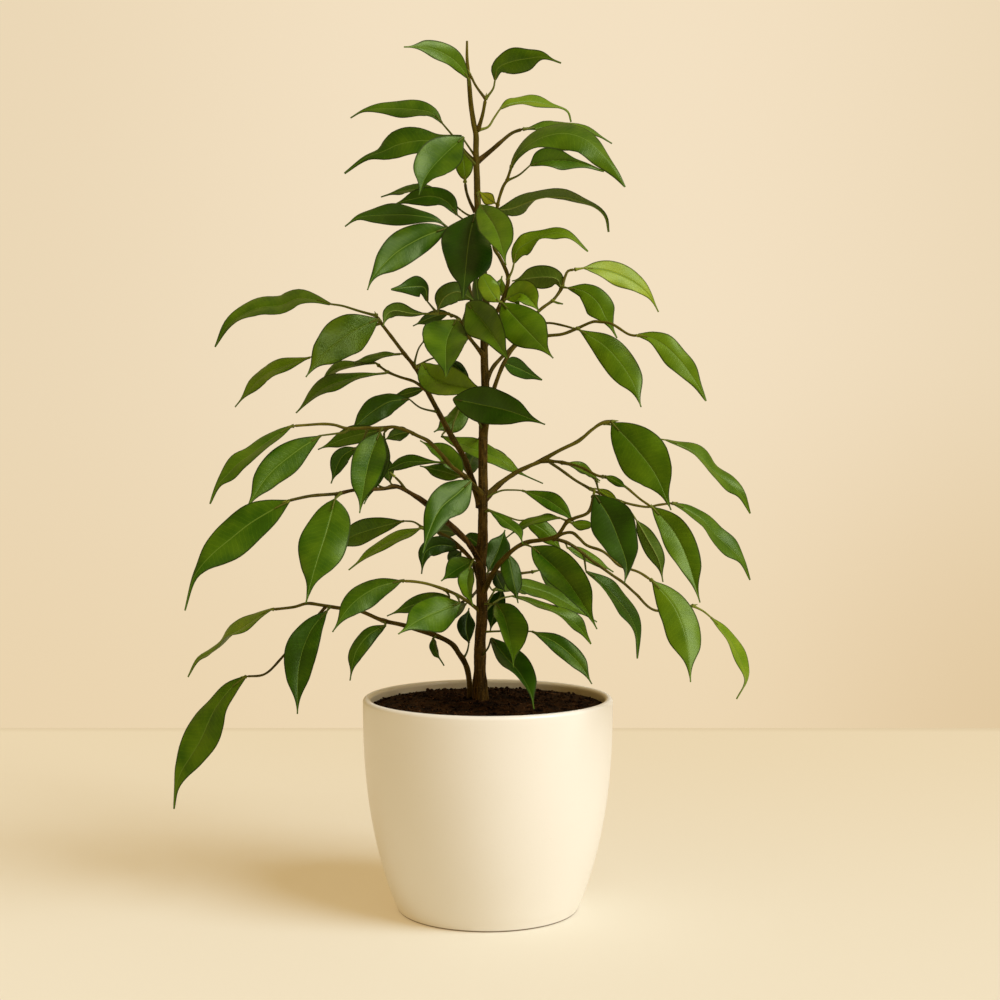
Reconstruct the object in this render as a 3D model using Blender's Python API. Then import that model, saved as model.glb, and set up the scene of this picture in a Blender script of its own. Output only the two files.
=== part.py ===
"""A young weeping fig in a cream cover pot: pot, soil, trunk, a shoot and the leafy branches.

Metres, +Z up. The origin is the middle of the pot's underside, on the surface that it stands on.
The plant is laid out as it is seen from the front. A place is written as (across, down, near): pixels
across and down in a 1000 pixel square picture, and millimetres towards the viewer from the plane through
the trunk. place() turns it into metres. Each leafy branch is grown together into one closed solid.
"""
import math
import random

import bmesh
import bpy
from mathutils import Vector

MM = 0.001

# The viewer, whose picture the layout is drawn on
EYE = Vector((0.0068, -0.9314, 0.2618))
EYE_TILT = math.radians(2.0)
PICTURE = 1000.0
FOCAL = PICTURE * 60.0 / 36.0

# The pot
POT_HEIGHT = 119.0 * MM
POT_WIDTH = 140.0 * MM
FOOT_WIDTH = 101.6 * MM
FOOT_EDGE = 1.2 * MM
POT_WALL = 4.4 * MM
POT_FLOOR = 6.0 * MM
WALL_SWELL = 2.5
ROUND_SIDES = 40

# The soil
SOIL_DROP = 5.0 * MM
SOIL_MOUND = 3.0 * MM
CRUMB_HEIGHT = 0.7 * MM
STEM_DEPTH = 45.0 * MM
SHOOT_DEPTH = 26.0 * MM

# Stems and leaves
SEAT_GAP = 0.3 * MM
BLADE_THICKNESS = 0.8 * MM
STALK_THICKNESS = 1.2 * MM
BLADE_PROPORTION = 0.13
LONG_BLADE = 46.0 * MM
LONG_SHARES = (0.0, 0.13, 0.34, 0.60, 0.84, 1.0)
SHORT_SHARES = (0.0, 0.18, 0.48, 0.80, 1.0)
STALK_STEP = 14.0 * MM
STEM_STEP = 14.0 * MM
TRUNK_ACROSS = 488


def place(across, down, near):
    """The point seen at a pixel, `near` millimetres before the plane through the trunk."""
    right = (across - PICTURE / 2) / FOCAL
    up = (PICTURE / 2 - down) / FOCAL
    sine, cosine = math.sin(EYE_TILT), math.cos(EYE_TILT)
    ray = Vector((right, cosine + up * sine, up * cosine - sine))
    return EYE + ray * ((-near * MM - EYE.y) / ray.y)


def smooth_path(points):
    """A dense Catmull-Rom curve through the points."""
    ends = [points[0] * 2 - points[1]] + list(points) + [points[-1] * 2 - points[-2]]
    steps = 8
    path = []
    for a, b, c, d in zip(ends, ends[1:], ends[2:], ends[3:]):
        for step in range(steps):
            t = step / steps
            path.append(0.5 * (2 * b + (c - a) * t + (2 * a - 5 * b + 4 * c - d) * t * t
                               + (3 * b - 3 * c + d - a) * t ** 3))
    path.append(points[-1].copy())
    return path


def along(path, share):
    """The point and the direction at a share of a path's length."""
    lengths = [0.0]
    for a, b in zip(path, path[1:]):
        lengths.append(lengths[-1] + (b - a).length)
    goal = share * lengths[-1]
    for i in range(1, len(path)):
        if lengths[i] >= goal - 1e-9:
            span = max(lengths[i] - lengths[i - 1], 1e-9)
            t = (goal - lengths[i - 1]) / span
            before, after = path[max(i - 2, 0)], path[min(i + 1, len(path) - 1)]
            return path[i - 1].lerp(path[i], t), (after - before).normalized()
    return path[-1].copy(), (path[-1] - path[-2]).normalized()


def path_length(path):
    return sum((b - a).length for a, b in zip(path, path[1:]))


def new_object(name, vertices, faces):
    """A mesh object with its faces turned outwards."""
    mesh = bpy.data.meshes.new(name)
    mesh.from_pydata([tuple(v) for v in vertices], [], faces)
    shape = bmesh.new()
    shape.from_mesh(mesh)
    bmesh.ops.recalc_face_normals(shape, faces=shape.faces)
    if shape.calc_volume(signed=True) < 0:
        bmesh.ops.reverse_faces(shape, faces=shape.faces)
    shape.to_mesh(mesh)
    shape.free()
    thing = bpy.data.objects.new(name, mesh)
    bpy.context.scene.collection.objects.link(thing)
    return thing


def rings_to_solid(name, rings):
    """A closed solid through rings of the same number of points. The two sides of a blade, which are the two
    halves of its rings, are split into triangles alike."""
    count = len(rings[0])
    vertices = [point for ring in rings for point in ring]
    faces = []
    for r in range(len(rings) - 1):
        for i in range(count):
            j = (i + 1) % count
            a, b = r * count + i, r * count + j
            c, d = b + count, a + count
            faces += [(a, b, c), (a, c, d)] if i < count / 2 else [(a, b, d), (b, c, d)]
    faces.append(tuple(reversed(range(count))))
    faces.append(tuple(range(len(vertices) - count, len(vertices))))
    return new_object(name, vertices, faces)


def tube(name, path, radius_at, sides, step=STEM_STEP, rings=None):
    """A tapering tube along a path. radius_at gives the radius at a share of the length."""
    if rings is None:
        rings = max(2, round(path_length(path) / step) + 1)
    side = Vector((0, -1, 0))
    loops = []
    for r in range(rings):
        share = r / (rings - 1)
        middle, ahead = along(path, share)
        side = (side - ahead * side.dot(ahead)).normalized()
        other = ahead.cross(side)
        radius = radius_at(share)
        loops.append([middle + (side * math.cos(a) + other * math.sin(a)) * radius
                      for a in (math.tau * i / sides for i in range(sides))])
    return rings_to_solid(name, loops)


def blade_width(share, drip):
    """Half of a blade's width, as a share of its widest, from the base (0) to the tip (1). The last part of
    the blade, the drip, is a narrow tail."""
    body = min(1.0, share / (1 - drip))
    swell = max(0.0, math.sin(math.pi * body ** 0.8)) ** 1.1 * (1 - 0.3 * body ** 3)
    return max(swell, 0.10 - 0.065 * share)


def blade_rings(rib, half, shows, drip):
    """The rings of one leaf blade, a curved strip of even thickness in the outline of a fig leaf.

    half holds its half-widths in pixels as the viewer sees them, on its upper and lower side, or on its left
    and right side where it hangs. What is missing from its true width is depth. shows is "face" or "back".
    """
    path = smooth_path([place(*point) for point in rib])
    length = path_length(path)
    pixel = (path[0] - EYE).length / FOCAL
    across, down = rib[-1][0] - rib[0][0], rib[-1][1] - rib[0][1]
    lies = abs(across) >= abs(down)
    outward = 1.0 if rib[0][0] + rib[-1][0] > 2 * TRUNK_ACROSS else -1.0
    true_half = max(max(half) * pixel, BLADE_PROPORTION * length)
    toward = 1.0 if shows == "face" else -1.0
    rings = []
    for share in LONG_SHARES if length > LONG_BLADE else SHORT_SHARES:
        middle, ahead = along(path, share)
        view = (middle - EYE).normalized()
        sideways = ahead.cross(view).normalized()
        away = (view - ahead * view.dot(ahead)).normalized()
        first_half = sideways.z > 0 if lies else sideways.x < 0
        edges = []
        for sign in (1.0, -1.0):
            seen = half[0] if (sign > 0) == first_half else half[1]
            seen = min(seen * pixel, true_half)
            hidden = math.sqrt(max(true_half ** 2 - seen ** 2, 0.0))
            goes = sideways * sign
            farther = 1.0 if goes.z * 0.8 + goes.x * 0.6 * outward > 0 else -1.0
            edges.append((goes * seen + away * (hidden * farther * toward)) * blade_width(share, drip))
        rings.append(strip_ring(middle + edges[0], middle + edges[1], ahead, BLADE_THICKNESS))
    return rings


def strip_ring(left, right, ahead, thickness):
    """Four corners of a strip's section, between its two edges."""
    half = (left - right).cross(ahead).normalized() * (thickness / 2)
    return [left + half, right + half, right - half, left - half]


def stalk_rings(path, rings):
    """The square rings of a stalk, set as the blade's own rings are, so that they run into it untwisted."""
    loops = []
    for r in range(rings):
        middle, ahead = along(path, r / rings)
        side = ahead.cross((middle - EYE).normalized()).normalized() * (STALK_THICKNESS / 2)
        loops.append(strip_ring(middle + side, middle - side, ahead, STALK_THICKNESS))
    return loops


def nearest_on(routes, across, down):
    """The place on the nearest route to a pixel: its own pixel and its depth."""
    best = None
    for route in routes:
        for a, b in zip(route, route[1:]):
            dx, dy = b[0] - a[0], b[1] - a[1]
            t = ((across - a[0]) * dx + (down - a[1]) * dy) / max(dx * dx + dy * dy, 1e-9)
            t = min(1.0, max(0.0, t))
            spot = tuple(p + (q - p) * t for p, q in zip(a, b))
            gap = math.hypot(spot[0] - across, spot[1] - down)
            if best is None or gap < best[0]:
                best = (gap, spot)
    return best[1]


def with_depth(pixels, near_start, near_end):
    """Pixels along a line, with depths spread evenly along it from start to end."""
    run = [0.0]
    for a, b in zip(pixels, pixels[1:]):
        run.append(run[-1] + math.hypot(b[0] - a[0], b[1] - a[1]))
    return [(x, y, near_start + (near_end - near_start) * r / run[-1]) for (x, y), r in zip(pixels, run)]


def leaf(at, rib, near, half, stalk=(), shows="face", drip=0.0):
    """A leaf's row: the pixel its stalk grows from, its midrib's pixels, its base and tip depths."""
    return {"at": at, "rib": rib, "near": near, "half": half, "stalk": list(stalk), "shows": shows,
            "drip": drip}


def grow_leaf(name, routes, row):
    """One leaf with its stalk, which starts in the middle of its stem."""
    start = nearest_on(routes, *row["at"])
    base, tip = row["near"]
    rib = with_depth(row["rib"], base, tip)
    line = with_depth([start[:2]] + row["stalk"] + [rib[0][:2]], start[2], base)
    path = smooth_path([place(*p) for p in line])
    rings = max(1, round(path_length(path) / STALK_STEP))
    return rings_to_solid(name, stalk_rings(path, rings) + blade_rings(rib, row["half"], row["shows"],
                                                                          row["drip"]))


def stem(route, thick):
    """A stem's row: its route, and its thickness in millimetres at its start and its end."""
    return {"route": route, "thick": thick}


# The trunk and its leader, from the collar in the soil to the tip

TRUNK = stem([(480.5, 705, 0), (480, 694, 0), (480, 680, 0), (480, 664, 0), (480, 643, 0), (481.5, 623, 0),
              (482, 602, 1), (481.6, 582, 1), (481, 562, 1), (482.5, 541, 1), (483, 505, 0), (483, 465, -1),
              (483.4, 425, -2), (485.3, 391, -2), (484, 345, -1), (486, 300, 0), (481, 250, 0), (478, 215, 0),
              (477, 180, 0), (476.5, 165, 0), (476, 150, 0), (476, 135, 0), (473.5, 122, 0), (471, 105, 0),
              (469.5, 88, 0), (468, 70, 0), (467, 57, 0), (467, 41, 0)], None)
TRUNK_THICKNESS = ((0.00, 10.0), (0.02, 9.0), (0.05, 7.2), (0.12, 6.6), (0.24, 5.8), (0.40, 5.0),
                   (0.50, 4.4), (0.56, 3.8), (0.75, 3.2), (0.88, 2.6), (0.96, 1.8), (1.00, 1.2))

LEADER_TWIGS = [
    stem([(478, 130, 0), (481, 115, 3), (484, 99, 5)], (2.0, 1.5)),
    stem([(484, 99, 5), (476, 85, 4), (470, 74, 2)], (1.3, 1.1)),
]
LEADER_LEAVES = [
    leaf((470, 86), [(467, 73), (452, 57), (434, 48), (404, 47)], (3, 26), (8, 8)),
    leaf((484, 99), [(495, 79), (500, 65), (514, 59), (541, 60), (561, 63)], (5, 22), (11, 12), [(489, 92)]),
    leaf((479, 132), [(500, 110), (530, 101), (552, 104), (567, 110), (570, 122)], (-4, -22), (5, 5),
         [(487, 126), (492, 118)], drip=0.2),
    leaf((475, 162), [(441, 123), (426, 112), (400, 107), (375, 108), (360, 111), (350.5, 117.5)],
         (-12, -22), (7.5, 6.5), [(456, 140)]),
    leaf((476, 158), [(455, 140), (430, 139), (400, 144), (376, 152), (360, 160), (344.5, 173.5)], (-2, -10),
         (13, 9)),
    leaf((475, 166), [(464, 137), (441, 155), (426, 172), (419, 190)], (14, 44), (20, 18), [(463, 150)]),
    leaf((475, 210), [(465, 179), (460, 160), (455, 142)], (-6, -16), (8, 8), [(470, 197)]),
    leaf((478, 160), [(511, 133), (560, 125), (612, 143.5)], (-6, -30), (6, 5), [(490, 152), (500, 143)]),
    leaf((477, 212), [(475, 218), (469, 250), (462, 296)], (12, 58), (27, 24)),
    leaf((477, 192), [(480, 205), (496, 230), (506, 265)], (18, 68), (15, 18)),
    leaf((477, 225), [(457, 213), (430, 191), (410, 196), (390, 205.5)], (-5, -22), (9, 9), [(466, 220)]),
    leaf((477, 217), [(440, 190), (410, 188), (381, 197)], (-18, -36), (4.5, 4.5), [(458, 203)]),
    leaf((479, 232), [(436, 220), (415, 214.5), (395, 215), (375, 214), (358, 216), (345, 226.5)],
         (6, 12), (9, 9), [(458, 222)]),
    leaf((479, 240), [(446, 228), (424, 235), (400, 249), (383, 266), (373, 279), (367.5, 290)],
         (16, 38), (13, 14), [(462, 229)]),
]

# The trunk's lower leaves, which grow straight from it or on short stalks
TRUNK_LEAVES = [
    leaf((485, 430), [(453, 399), (497, 406), (545, 424.5)], (26, 66), (15, 17), [(470, 410)]),
    leaf((483, 499), [(524, 492), (545, 499), (560, 509), (573, 522)], (6, 22), (10, 10),
         [(500, 492), (512, 491)]),
    leaf((484, 512), [(492, 512), (508, 521), (516, 532), (523, 547)], (6, 30), (8, 8)),
    leaf((484, 508), [(526, 522), (541, 531), (562, 552)], (-2, 2), (9, 9), [(500, 514), (518, 522)]),
    leaf((481, 566), [(472, 563), (458, 572), (441, 581)], (3, 8), (9, 9)),
    leaf((481, 558), [(469, 568), (467, 585), (475, 606)], (14, 40), (8, 8), [(475, 558)]),
    leaf((483, 545), [(478, 546), (472, 539), (464, 536)], (-6, -12), (6, 6)),
    leaf((482, 580), [(488, 572), (496, 553), (506, 538)], (-6, -20), (11, 9)),
    leaf((482, 619), [(513, 594), (528, 604), (560, 618), (591, 643)], (-10, -24), (6, 6),
         [(489, 607), (500, 598)]),
    leaf((482, 616), [(508, 581), (530, 585), (552, 595), (597, 622)], (-18, -34), (9, 9),
         [(489, 600), (497, 588)]),
    leaf((481, 632), [(534, 633), (558, 641), (577, 661), (591.4, 684)], (10, 22), (10, 10),
         [(505, 631), (524, 632)]),
    leaf((482, 604), [(493, 605), (505, 622), (512, 645), (513.5, 667)], (12, 52), (10, 18)),
    leaf((481, 658), [(489, 641), (505, 655), (520, 670), (530, 690), (534, 709)], (12, 58), (11, 13),
         [(488, 650)]),
]

# The shoot that leaves the soil beside the trunk and arches out to the left
SHOOT_STEMS = [
    stem([(470, 703, -7), (470, 690, -7), (468, 671, -8), (464, 660, -9), (459, 652.7, -10), (452, 643, -12),
          (437, 635, -15), (417, 629.6, -18), (403, 625, -20), (383, 620.6, -23), (367.6, 614, -25),
          (356, 609.5, -27), (338.6, 608, -29), (320.7, 605, -31), (307, 603.4, -32), (294, 607, -33),
          (273, 609.5, -34)], (3.2, 1.5)),
    stem([(326, 606.5, -30), (305, 630, -34), (282, 657.5, -37), (265, 674, -39), (246, 676.5, -40)],
         (1.7, 1.3)),
]
SHOOT_LEAVES = [
    leaf((246, 676.5), [(245, 677), (222, 694), (201, 722), (186, 755), (177, 780), (173, 809)], (-40, -32),
         (15, 17), drip=0.1),
    leaf((274, 609.5), [(272, 610), (243, 622), (215, 645), (188, 677)], (-34, -46), (6, 6)),
    leaf((330, 607), [(327, 611), (310, 632), (299, 665), (297.7, 714)], (-26, -4), (17, 16)),
    leaf((384, 621), [(385, 625), (367, 633), (354, 652), (350, 680.5)], (-20, -2), (8, 9)),
    leaf((437, 635), [(433, 638), (434, 650), (444, 665.6)], (-12, 4), (4.5, 4.5), drip=0.3),
    leaf((463, 659), [(468, 642), (464, 627), (468, 609)], (-15, -26), (10, 9), [(467, 652)]),
]

# The upper left branch, with the twig that forks from it
UPPER_LEFT_STEMS = [
    stem([(481, 506, 0), (472, 480, -7), (464, 458, -12), (451, 435.5, -18), (439, 413, -24),
          (427, 390.6, -30), (417, 370, -35), (404.5, 354, -40), (392, 337.5, -44), (381, 323, -47),
          (377, 316, -48)], (3.6, 1.7)),
    stem([(428, 392, -30), (415, 382, -35), (400, 377, -41), (388, 372, -45), (378, 365, -49)], (1.8, 1.3)),
]
UPPER_LEFT_LEAVES = [
    leaf((377, 316), [(330, 303), (300, 299), (270, 302), (247, 311), (229, 326), (215, 347)], (-58, -72),
         (9, 9), [(359, 311), (343, 306)]),
    leaf((380, 321), [(378, 318), (350, 333), (325, 352), (307, 377)], (-42, -12), (21, 18)),
    leaf((381, 323), [(312, 357), (290, 361), (265, 371), (236, 407)], (-62, -76), (6.5, 6.5), [(350, 337)]),
    leaf((404, 354), [(400, 354), (378, 356), (355, 361.5)], (-44, -58), (4.5, 4.5)),
    leaf((379, 365), [(376, 366), (352, 363), (335, 371), (320, 384)], (-52, -68), (5.5, 5.5)),
    leaf((388, 372), [(386, 375), (350, 376), (322, 390), (296, 413)], (-42, -26), (6.5, 9)),
    leaf((437, 413), [(408, 400), (384, 406), (364, 418), (350, 434)], (-20, -4), (11, 12), [(421, 405)]),
    leaf((427, 389), [(424, 389), (405, 394), (388, 398)], (-33, -44), (5, 5)),
    leaf((417, 368), [(422, 363), (438, 382), (487, 391)], (-30, 8), (14, 14)),
    leaf((416, 366), [(450, 360), (460, 371), (472, 388)], (-30, -26), (9, 9), [(434, 358)]),
    leaf((416, 364), [(423, 342), (435, 335), (450, 330)], (-32, -24), (6, 6), [(418, 350)]),
    leaf((452, 437), [(450, 434), (454, 419), (460, 399)], (-30, -44), (9, 9)),
    leaf((446, 427), [(442, 440), (490, 456), (512, 470), (543, 483.5)], (-32, -20), (14, 12), [(441, 434)],
         drip=0.18),
]

# The short branch in front of it, which carries the hanging front leaves
FRONT_LEFT_STEMS = [
    stem([(484, 356, 0), (472, 341, 8), (464, 330, 13), (459, 319, 17), (448, 314, 19), (437, 313, 20)],
         (2.4, 1.3)),
]
FRONT_LEFT_LEAVES = [
    leaf((437, 313), [(425, 299), (412, 286), (391, 289)], (22, 32), (12, 6), [(430, 305)]),
    leaf((438, 313), [(436, 308), (438, 297), (451, 291), (470, 296)], (16, 4), (6, 6), shows="back"),
    leaf((438, 313), [(430, 313.5), (406, 311), (391, 311), (384, 326)], (22, 34), (7, 6), shows="back"),
    leaf((459, 320), [(457, 322), (444, 342), (445, 377)], (24, 76), (21, 19)),
    leaf((452, 315), [(449, 313), (432, 317), (413, 326)], (14, 0), (6, 6)),
    leaf((463, 328), [(463, 306), (487, 329), (507, 358)], (26, 74), (17, 15), [(464, 316)]),
]

# The middle left branch
MIDDLE_LEFT_STEMS = [
    stem([(482, 494, 1), (464, 476, 9), (451, 466, 11), (441, 454, 14), (429, 441.6, 17), (417, 435.5, 19),
          (406.5, 430.4, 21), (394, 427, 23), (384, 428, 25), (365, 428, 28), (347, 428.4, 31),
          (335, 425, 33), (323, 424, 35), (306.5, 425, 38), (293, 426, 40)], (2.5, 1.3)),
]
MIDDLE_LEFT_LEAVES = [
    leaf((294, 426), [(292, 427), (272, 438), (251, 454), (236, 465), (223, 480), (210.6, 504)], (40, 48),
         (8, 9), drip=0.12),
    leaf((349, 428), [(321, 434), (296, 448), (269, 472), (247, 508)], (32, 54), (13, 15),
         [(345, 432), (337, 433.5)]),
    leaf((385, 428), [(384, 430), (352, 438), (318, 449.5)], (20, 4), (9, 9)),
    leaf((382, 428), [(380, 432), (368, 464), (359.6, 513)], (28, 66), (17, 16)),
    leaf((388, 427), [(387, 433), (386, 462), (364, 504)], (22, 44), (12, 10)),
    leaf((368, 428), [(355, 450), (340, 457), (331, 483.5)], (24, 18), (8, 8), [(363, 440)]),
    leaf((446, 460), [(441, 461), (415, 460), (385, 471)], (10, 0), (8, 8)),
    leaf((464, 476), [(460, 477), (443, 472), (420, 466.5)], (6, -8), (7, 9)),
    leaf((415, 434), [(412, 435.5), (399, 437), (385, 446)], (14, 2), (6, 6)),
    leaf((464, 476), [(460, 472), (445, 457), (421, 440)], (3, 3), (11, 6)),
    leaf((467, 479), [(466, 482), (447, 500), (430, 524), (421, 556)], (16, 48), (15, 14)),
]

# The low left branch
LOW_LEFT_STEMS = [
    stem([(482, 562, 1), (466, 536, 10), (447, 520, 17), (425, 501, 25), (412, 494, 30), (400, 487.5, 34),
          (392, 486, 37), (384, 488.6, 40), (355, 490, 47), (337, 493.7, 51), (310, 496, 56),
          (288, 500.8, 60)], (2.8, 1.4)),
    stem([(405, 489, 33), (400, 482, 36), (394, 476, 38)], (1.4, 1.2)),
]
LOW_LEFT_LEAVES = [
    leaf((289, 500.7), [(288, 501), (261, 513), (234, 532), (212, 556), (197, 578), (185, 610.6)], (60, 70),
         (16, 17), drip=0.1),
    leaf((341, 493), [(336, 500), (327, 530), (316, 562), (306, 603)], (56, 94), (24, 27), [(338, 497)]),
]

# The short inner branch on the left
INNER_LEFT_STEMS = [
    stem([(481, 582, -1), (472.5, 558, -8), (461, 545, -14), (450, 534, -20), (434, 528, -26),
          (422, 525, -30)], (2.4, 1.4)),
]
INNER_LEFT_LEAVES = [
    leaf((422, 525), [(403, 521), (376, 528), (352, 537), (330, 550)], (-36, -60), (13, 12), [(414, 521)]),
    leaf((423, 525.5), [(421, 527), (384, 542), (348.6, 570)], (-28, -16), (5.5, 5.5)),
    leaf((461, 545), [(458, 546), (438, 545), (425, 553), (421.5, 573)], (-12, -4), (9, 9)),
    leaf((463, 547), [(461, 551), (455, 558), (451, 568)], (-18, -22), (7, 7)),
]

# The low twig on the left, near the soil
LOW_TWIG_STEMS = [
    stem([(482, 613, 1), (471, 604, 5), (459, 596, 7), (446, 590, 9), (428, 584, 12), (414.5, 581.6, 14),
          (403, 581, 16)], (1.6, 1.2)),
]
LOW_TWIG_LEAVES = [
    leaf((404, 581), [(402, 581), (376, 586), (352, 602), (333, 632)], (16, 34), (10, 12)),
    leaf((446, 590), [(447, 595), (418, 599), (388, 613)], (4, -10), (7, 7)),
    leaf((457, 595), [(457, 600), (430, 612), (398.4, 634)], (14, 46), (14, 14)),
]

# The upper right branch, which climbs beside the trunk
UPPER_RIGHT_STEMS = [
    stem([(484, 338, 0), (491, 322, 9), (501, 304, 15), (505, 295, 17), (508, 277, 19), (500, 258, 20),
          (494, 247, 20), (495, 225, 20), (498, 203, 21), (503, 187, 23), (507, 180, 24), (512, 165, 27)],
         (2.4, 1.3)),
]
UPPER_RIGHT_LEAVES = [
    leaf((512, 166), [(512, 165), (520, 150), (538, 138), (556, 134), (577, 136), (597, 147), (613, 166),
                      (624.5, 186.5)], (27, 44), (13, 15)),
    leaf((508, 178), [(531, 166), (553, 157), (580, 158), (604, 171.5)], (14, 6), (8, 7), [(518, 172)]),
    leaf((498, 205), [(495, 202), (487, 196), (478, 190)], (14, 8), (5, 5)),
    leaf((496, 218), [(501, 213), (517, 204), (540, 194), (560, 192), (580, 197), (600, 209), (608.5, 232)],
         (18, -2), (10, 11), shows="back", drip=0.34),
    leaf((508, 280), [(516, 260), (519, 249), (533, 239), (552, 234), (570, 237), (588, 251.5)], (24, 30),
         (8, 7), [(515, 270)]),
    leaf((502, 302), [(499, 301), (487, 286), (471, 282)], (22, 28), (8, 4)),
    leaf((504, 298), [(503, 294), (500, 286), (496, 275)], (10, 2), (5, 5)),
    leaf((503, 300), [(506, 299), (525, 293), (542, 312)], (18, 28), (13, 11)),
    leaf((501, 306), [(504, 308), (527, 325), (553, 357)], (28, 74), (17, 17)),
]

# The branch behind it, which reaches up to the right
RIGHT_CLIMB_STEMS = [
    stem([(485, 386, -2), (492, 369, -8), (501, 358, -12), (515, 344, -16), (526, 325, -18), (540, 310, -20),
          (552, 301, -23), (558, 294, -26), (562, 287, -28), (565, 277, -31), (568, 271, -32),
          (575, 269.5, -34)], (2.2, 1.3)),
]
RIGHT_CLIMB_LEAVES = [
    leaf((575, 269.5), [(584, 268), (603, 270), (622, 275), (640, 285), (652, 297), (658.5, 312)],
         (-36, -50), (10, 9)),
    leaf((561, 289), [(559, 288), (556, 277), (540, 275), (511, 281)], (-32, -42), (11, 8), shows="back"),
    leaf((562, 287), [(566, 291), (583, 293), (599, 303), (610, 321), (619, 339)], (-22, -4), (14, 13)),
    leaf((552, 301), [(557, 303), (560, 305), (563, 309)], (-20, -18), (2.5, 2.5)),
]

# The branch under it, which reaches out to the right
RIGHT_REACH_STEMS = [
    stem([(484, 440, -2), (491, 400, 6), (500, 372, 9), (509, 354, 8), (520, 342, 6), (535, 337, 7),
          (550, 334, 8), (563, 333, 10), (577, 328, 12), (592, 322, 15), (600, 322, 17), (612, 324, 20),
          (628, 334, 24), (638, 336, 26)], (2.8, 1.2)),
    stem([(520, 342, 6), (535, 326, 0), (548, 323, 2), (561, 325, 7), (574, 328.5, 11)], (1.4, 1.1)),
]
RIGHT_REACH_LEAVES = [
    leaf((577, 328), [(578, 330), (601, 340), (618, 355), (632, 375), (642, 408)], (14, 38), (14, 14)),
    leaf((637, 336), [(639, 335), (658, 341), (676, 355), (691, 373), (706, 401)], (26, 44), (10, 10)),
    leaf((501, 370), [(503, 363), (520, 367), (542, 380)], (6, -10), (10, 10)),
]

# The middle right branch, with two side twigs
MIDDLE_RIGHT_STEMS = [
    stem([(483, 505, 0), (492, 492, -6), (501, 483, -8), (515.5, 472.7, -10), (528, 466.5, -11),
          (542, 460.4, -12), (554, 452, -13), (566.5, 445, -14), (579, 440, -15), (591, 429, -16),
          (601, 422.7, -16), (613.5, 420.6, -16)], (2.8, 1.4)),
    stem([(540, 461.5, -12), (560, 462, -6), (580, 467, 1), (596, 475, 7), (604, 477, 10), (615, 480, 12),
          (627, 488, 16), (640, 499, 19), (651, 506.5, 22)], (1.6, 1.2)),
    stem([(545, 459, -12), (562, 470.6, -15), (575, 480, -17), (587, 487, -19), (594, 491, -20),
          (620, 501, -22), (634, 505, -23), (648, 507, -24), (658, 505, -25), (672.7, 503, -26)], (1.6, 1.2)),
]
MIDDLE_RIGHT_LEAVES = [
    leaf((613, 420.6), [(614, 421), (639, 446), (657, 475), (670.6, 510)], (-14, 14), (24, 24)),
    leaf((604, 422), [(668, 440), (694, 450), (719, 469), (736, 491), (750.6, 513.5)], (-40, -54), (7, 7),
         [(626, 428), (650, 438)]),
    leaf((650, 506), [(651, 508), (671, 531), (688, 562), (700, 602.5)], (22, 46), (15, 14)),
    leaf((603, 476), [(605, 475), (613, 478), (627, 487)], (16, 28), (4.5, 4.5)),
    leaf((672, 503), [(673, 503.5), (700, 515), (724, 535), (741, 558), (750, 580)], (-26, -36), (9, 9)),
    leaf((562, 463), [(567, 463), (582, 468), (597, 480)], (-16, -30), (4.5, 4.5)),
    leaf((590, 489), [(598, 487), (608, 491), (620, 500)], (-12, -6), (3.5, 3.5)),
    leaf((620, 501), [(637, 519), (650, 538), (659, 560), (662.4, 581)], (-20, -8), (8, 8), [(630, 511)],
         shows="back"),
]

# The low right branch, with two side twigs
LOW_RIGHT_STEMS = [
    stem([(482, 594, 1), (488, 583, 5), (495, 570, 9), (503, 559.6, 13), (515.5, 548, 17), (528, 542, 21),
          (542, 540, 25), (555, 537, 29), (561, 531, 31), (567, 522, 33), (575, 518, 36), (589, 511.6, 41),
          (594, 493, 46)], (3.2, 1.4)),
    stem([(552, 538, 28), (568, 543, 27), (580, 551, 26), (591, 560, 25), (601, 567, 23),
          (613.5, 576, 21), (623.7, 583, 19), (636, 594, 17), (656, 610.6, 14), (692, 605.5, 11)],
         (1.7, 1.2)),
    stem([(553, 540, 28), (562, 534, 31), (572, 532.6, 33), (579, 538, 36), (587, 545.5, 38), (601, 550.4, 41),
          (609, 556, 42), (619.6, 565.7, 43), (638, 571.8, 44), (651, 580, 45)], (1.7, 1.2)),
]
LOW_RIGHT_LEAVES = [
    leaf((593, 497), [(595, 495), (610, 518), (622, 548), (627, 567), (624.5, 583)], (50, 88), (22, 21)),
    leaf((651, 580), [(652, 581), (672, 606), (685, 640), (690.6, 682)], (46, 70), (17, 16)),
    leaf((692, 605.5), [(711, 618), (733, 639), (748, 664), (749, 682), (737, 699)], (8, 0), (6, 6),
         [(703, 611)]),
    leaf((584, 554), [(586, 572), (609, 584), (625, 601), (636, 628), (637, 658.6)], (18, 12), (9, 9)),
    leaf((516, 548), [(533, 548), (560, 573), (581, 599), (597, 629)], (30, 68), (14, 18), [(524, 552)]),
    leaf((500, 564), [(494, 574), (500, 582), (506, 592)], (2, -6), (6, 6)),
    leaf((566, 542), [(566, 548), (585, 558), (613.5, 572)], (16, 4), (7, 7)),
    leaf((498, 567), [(500, 570), (509, 582), (518, 600)], (18, 42), (5, 14)),
    leaf((568, 521), [(558, 516), (540, 515), (521, 523), (505, 537)], (22, 4), (4, 4)),
    leaf((569, 521), [(574, 523), (583, 523), (596, 525)], (38, 44), (4.5, 4.5)),
]

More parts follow.
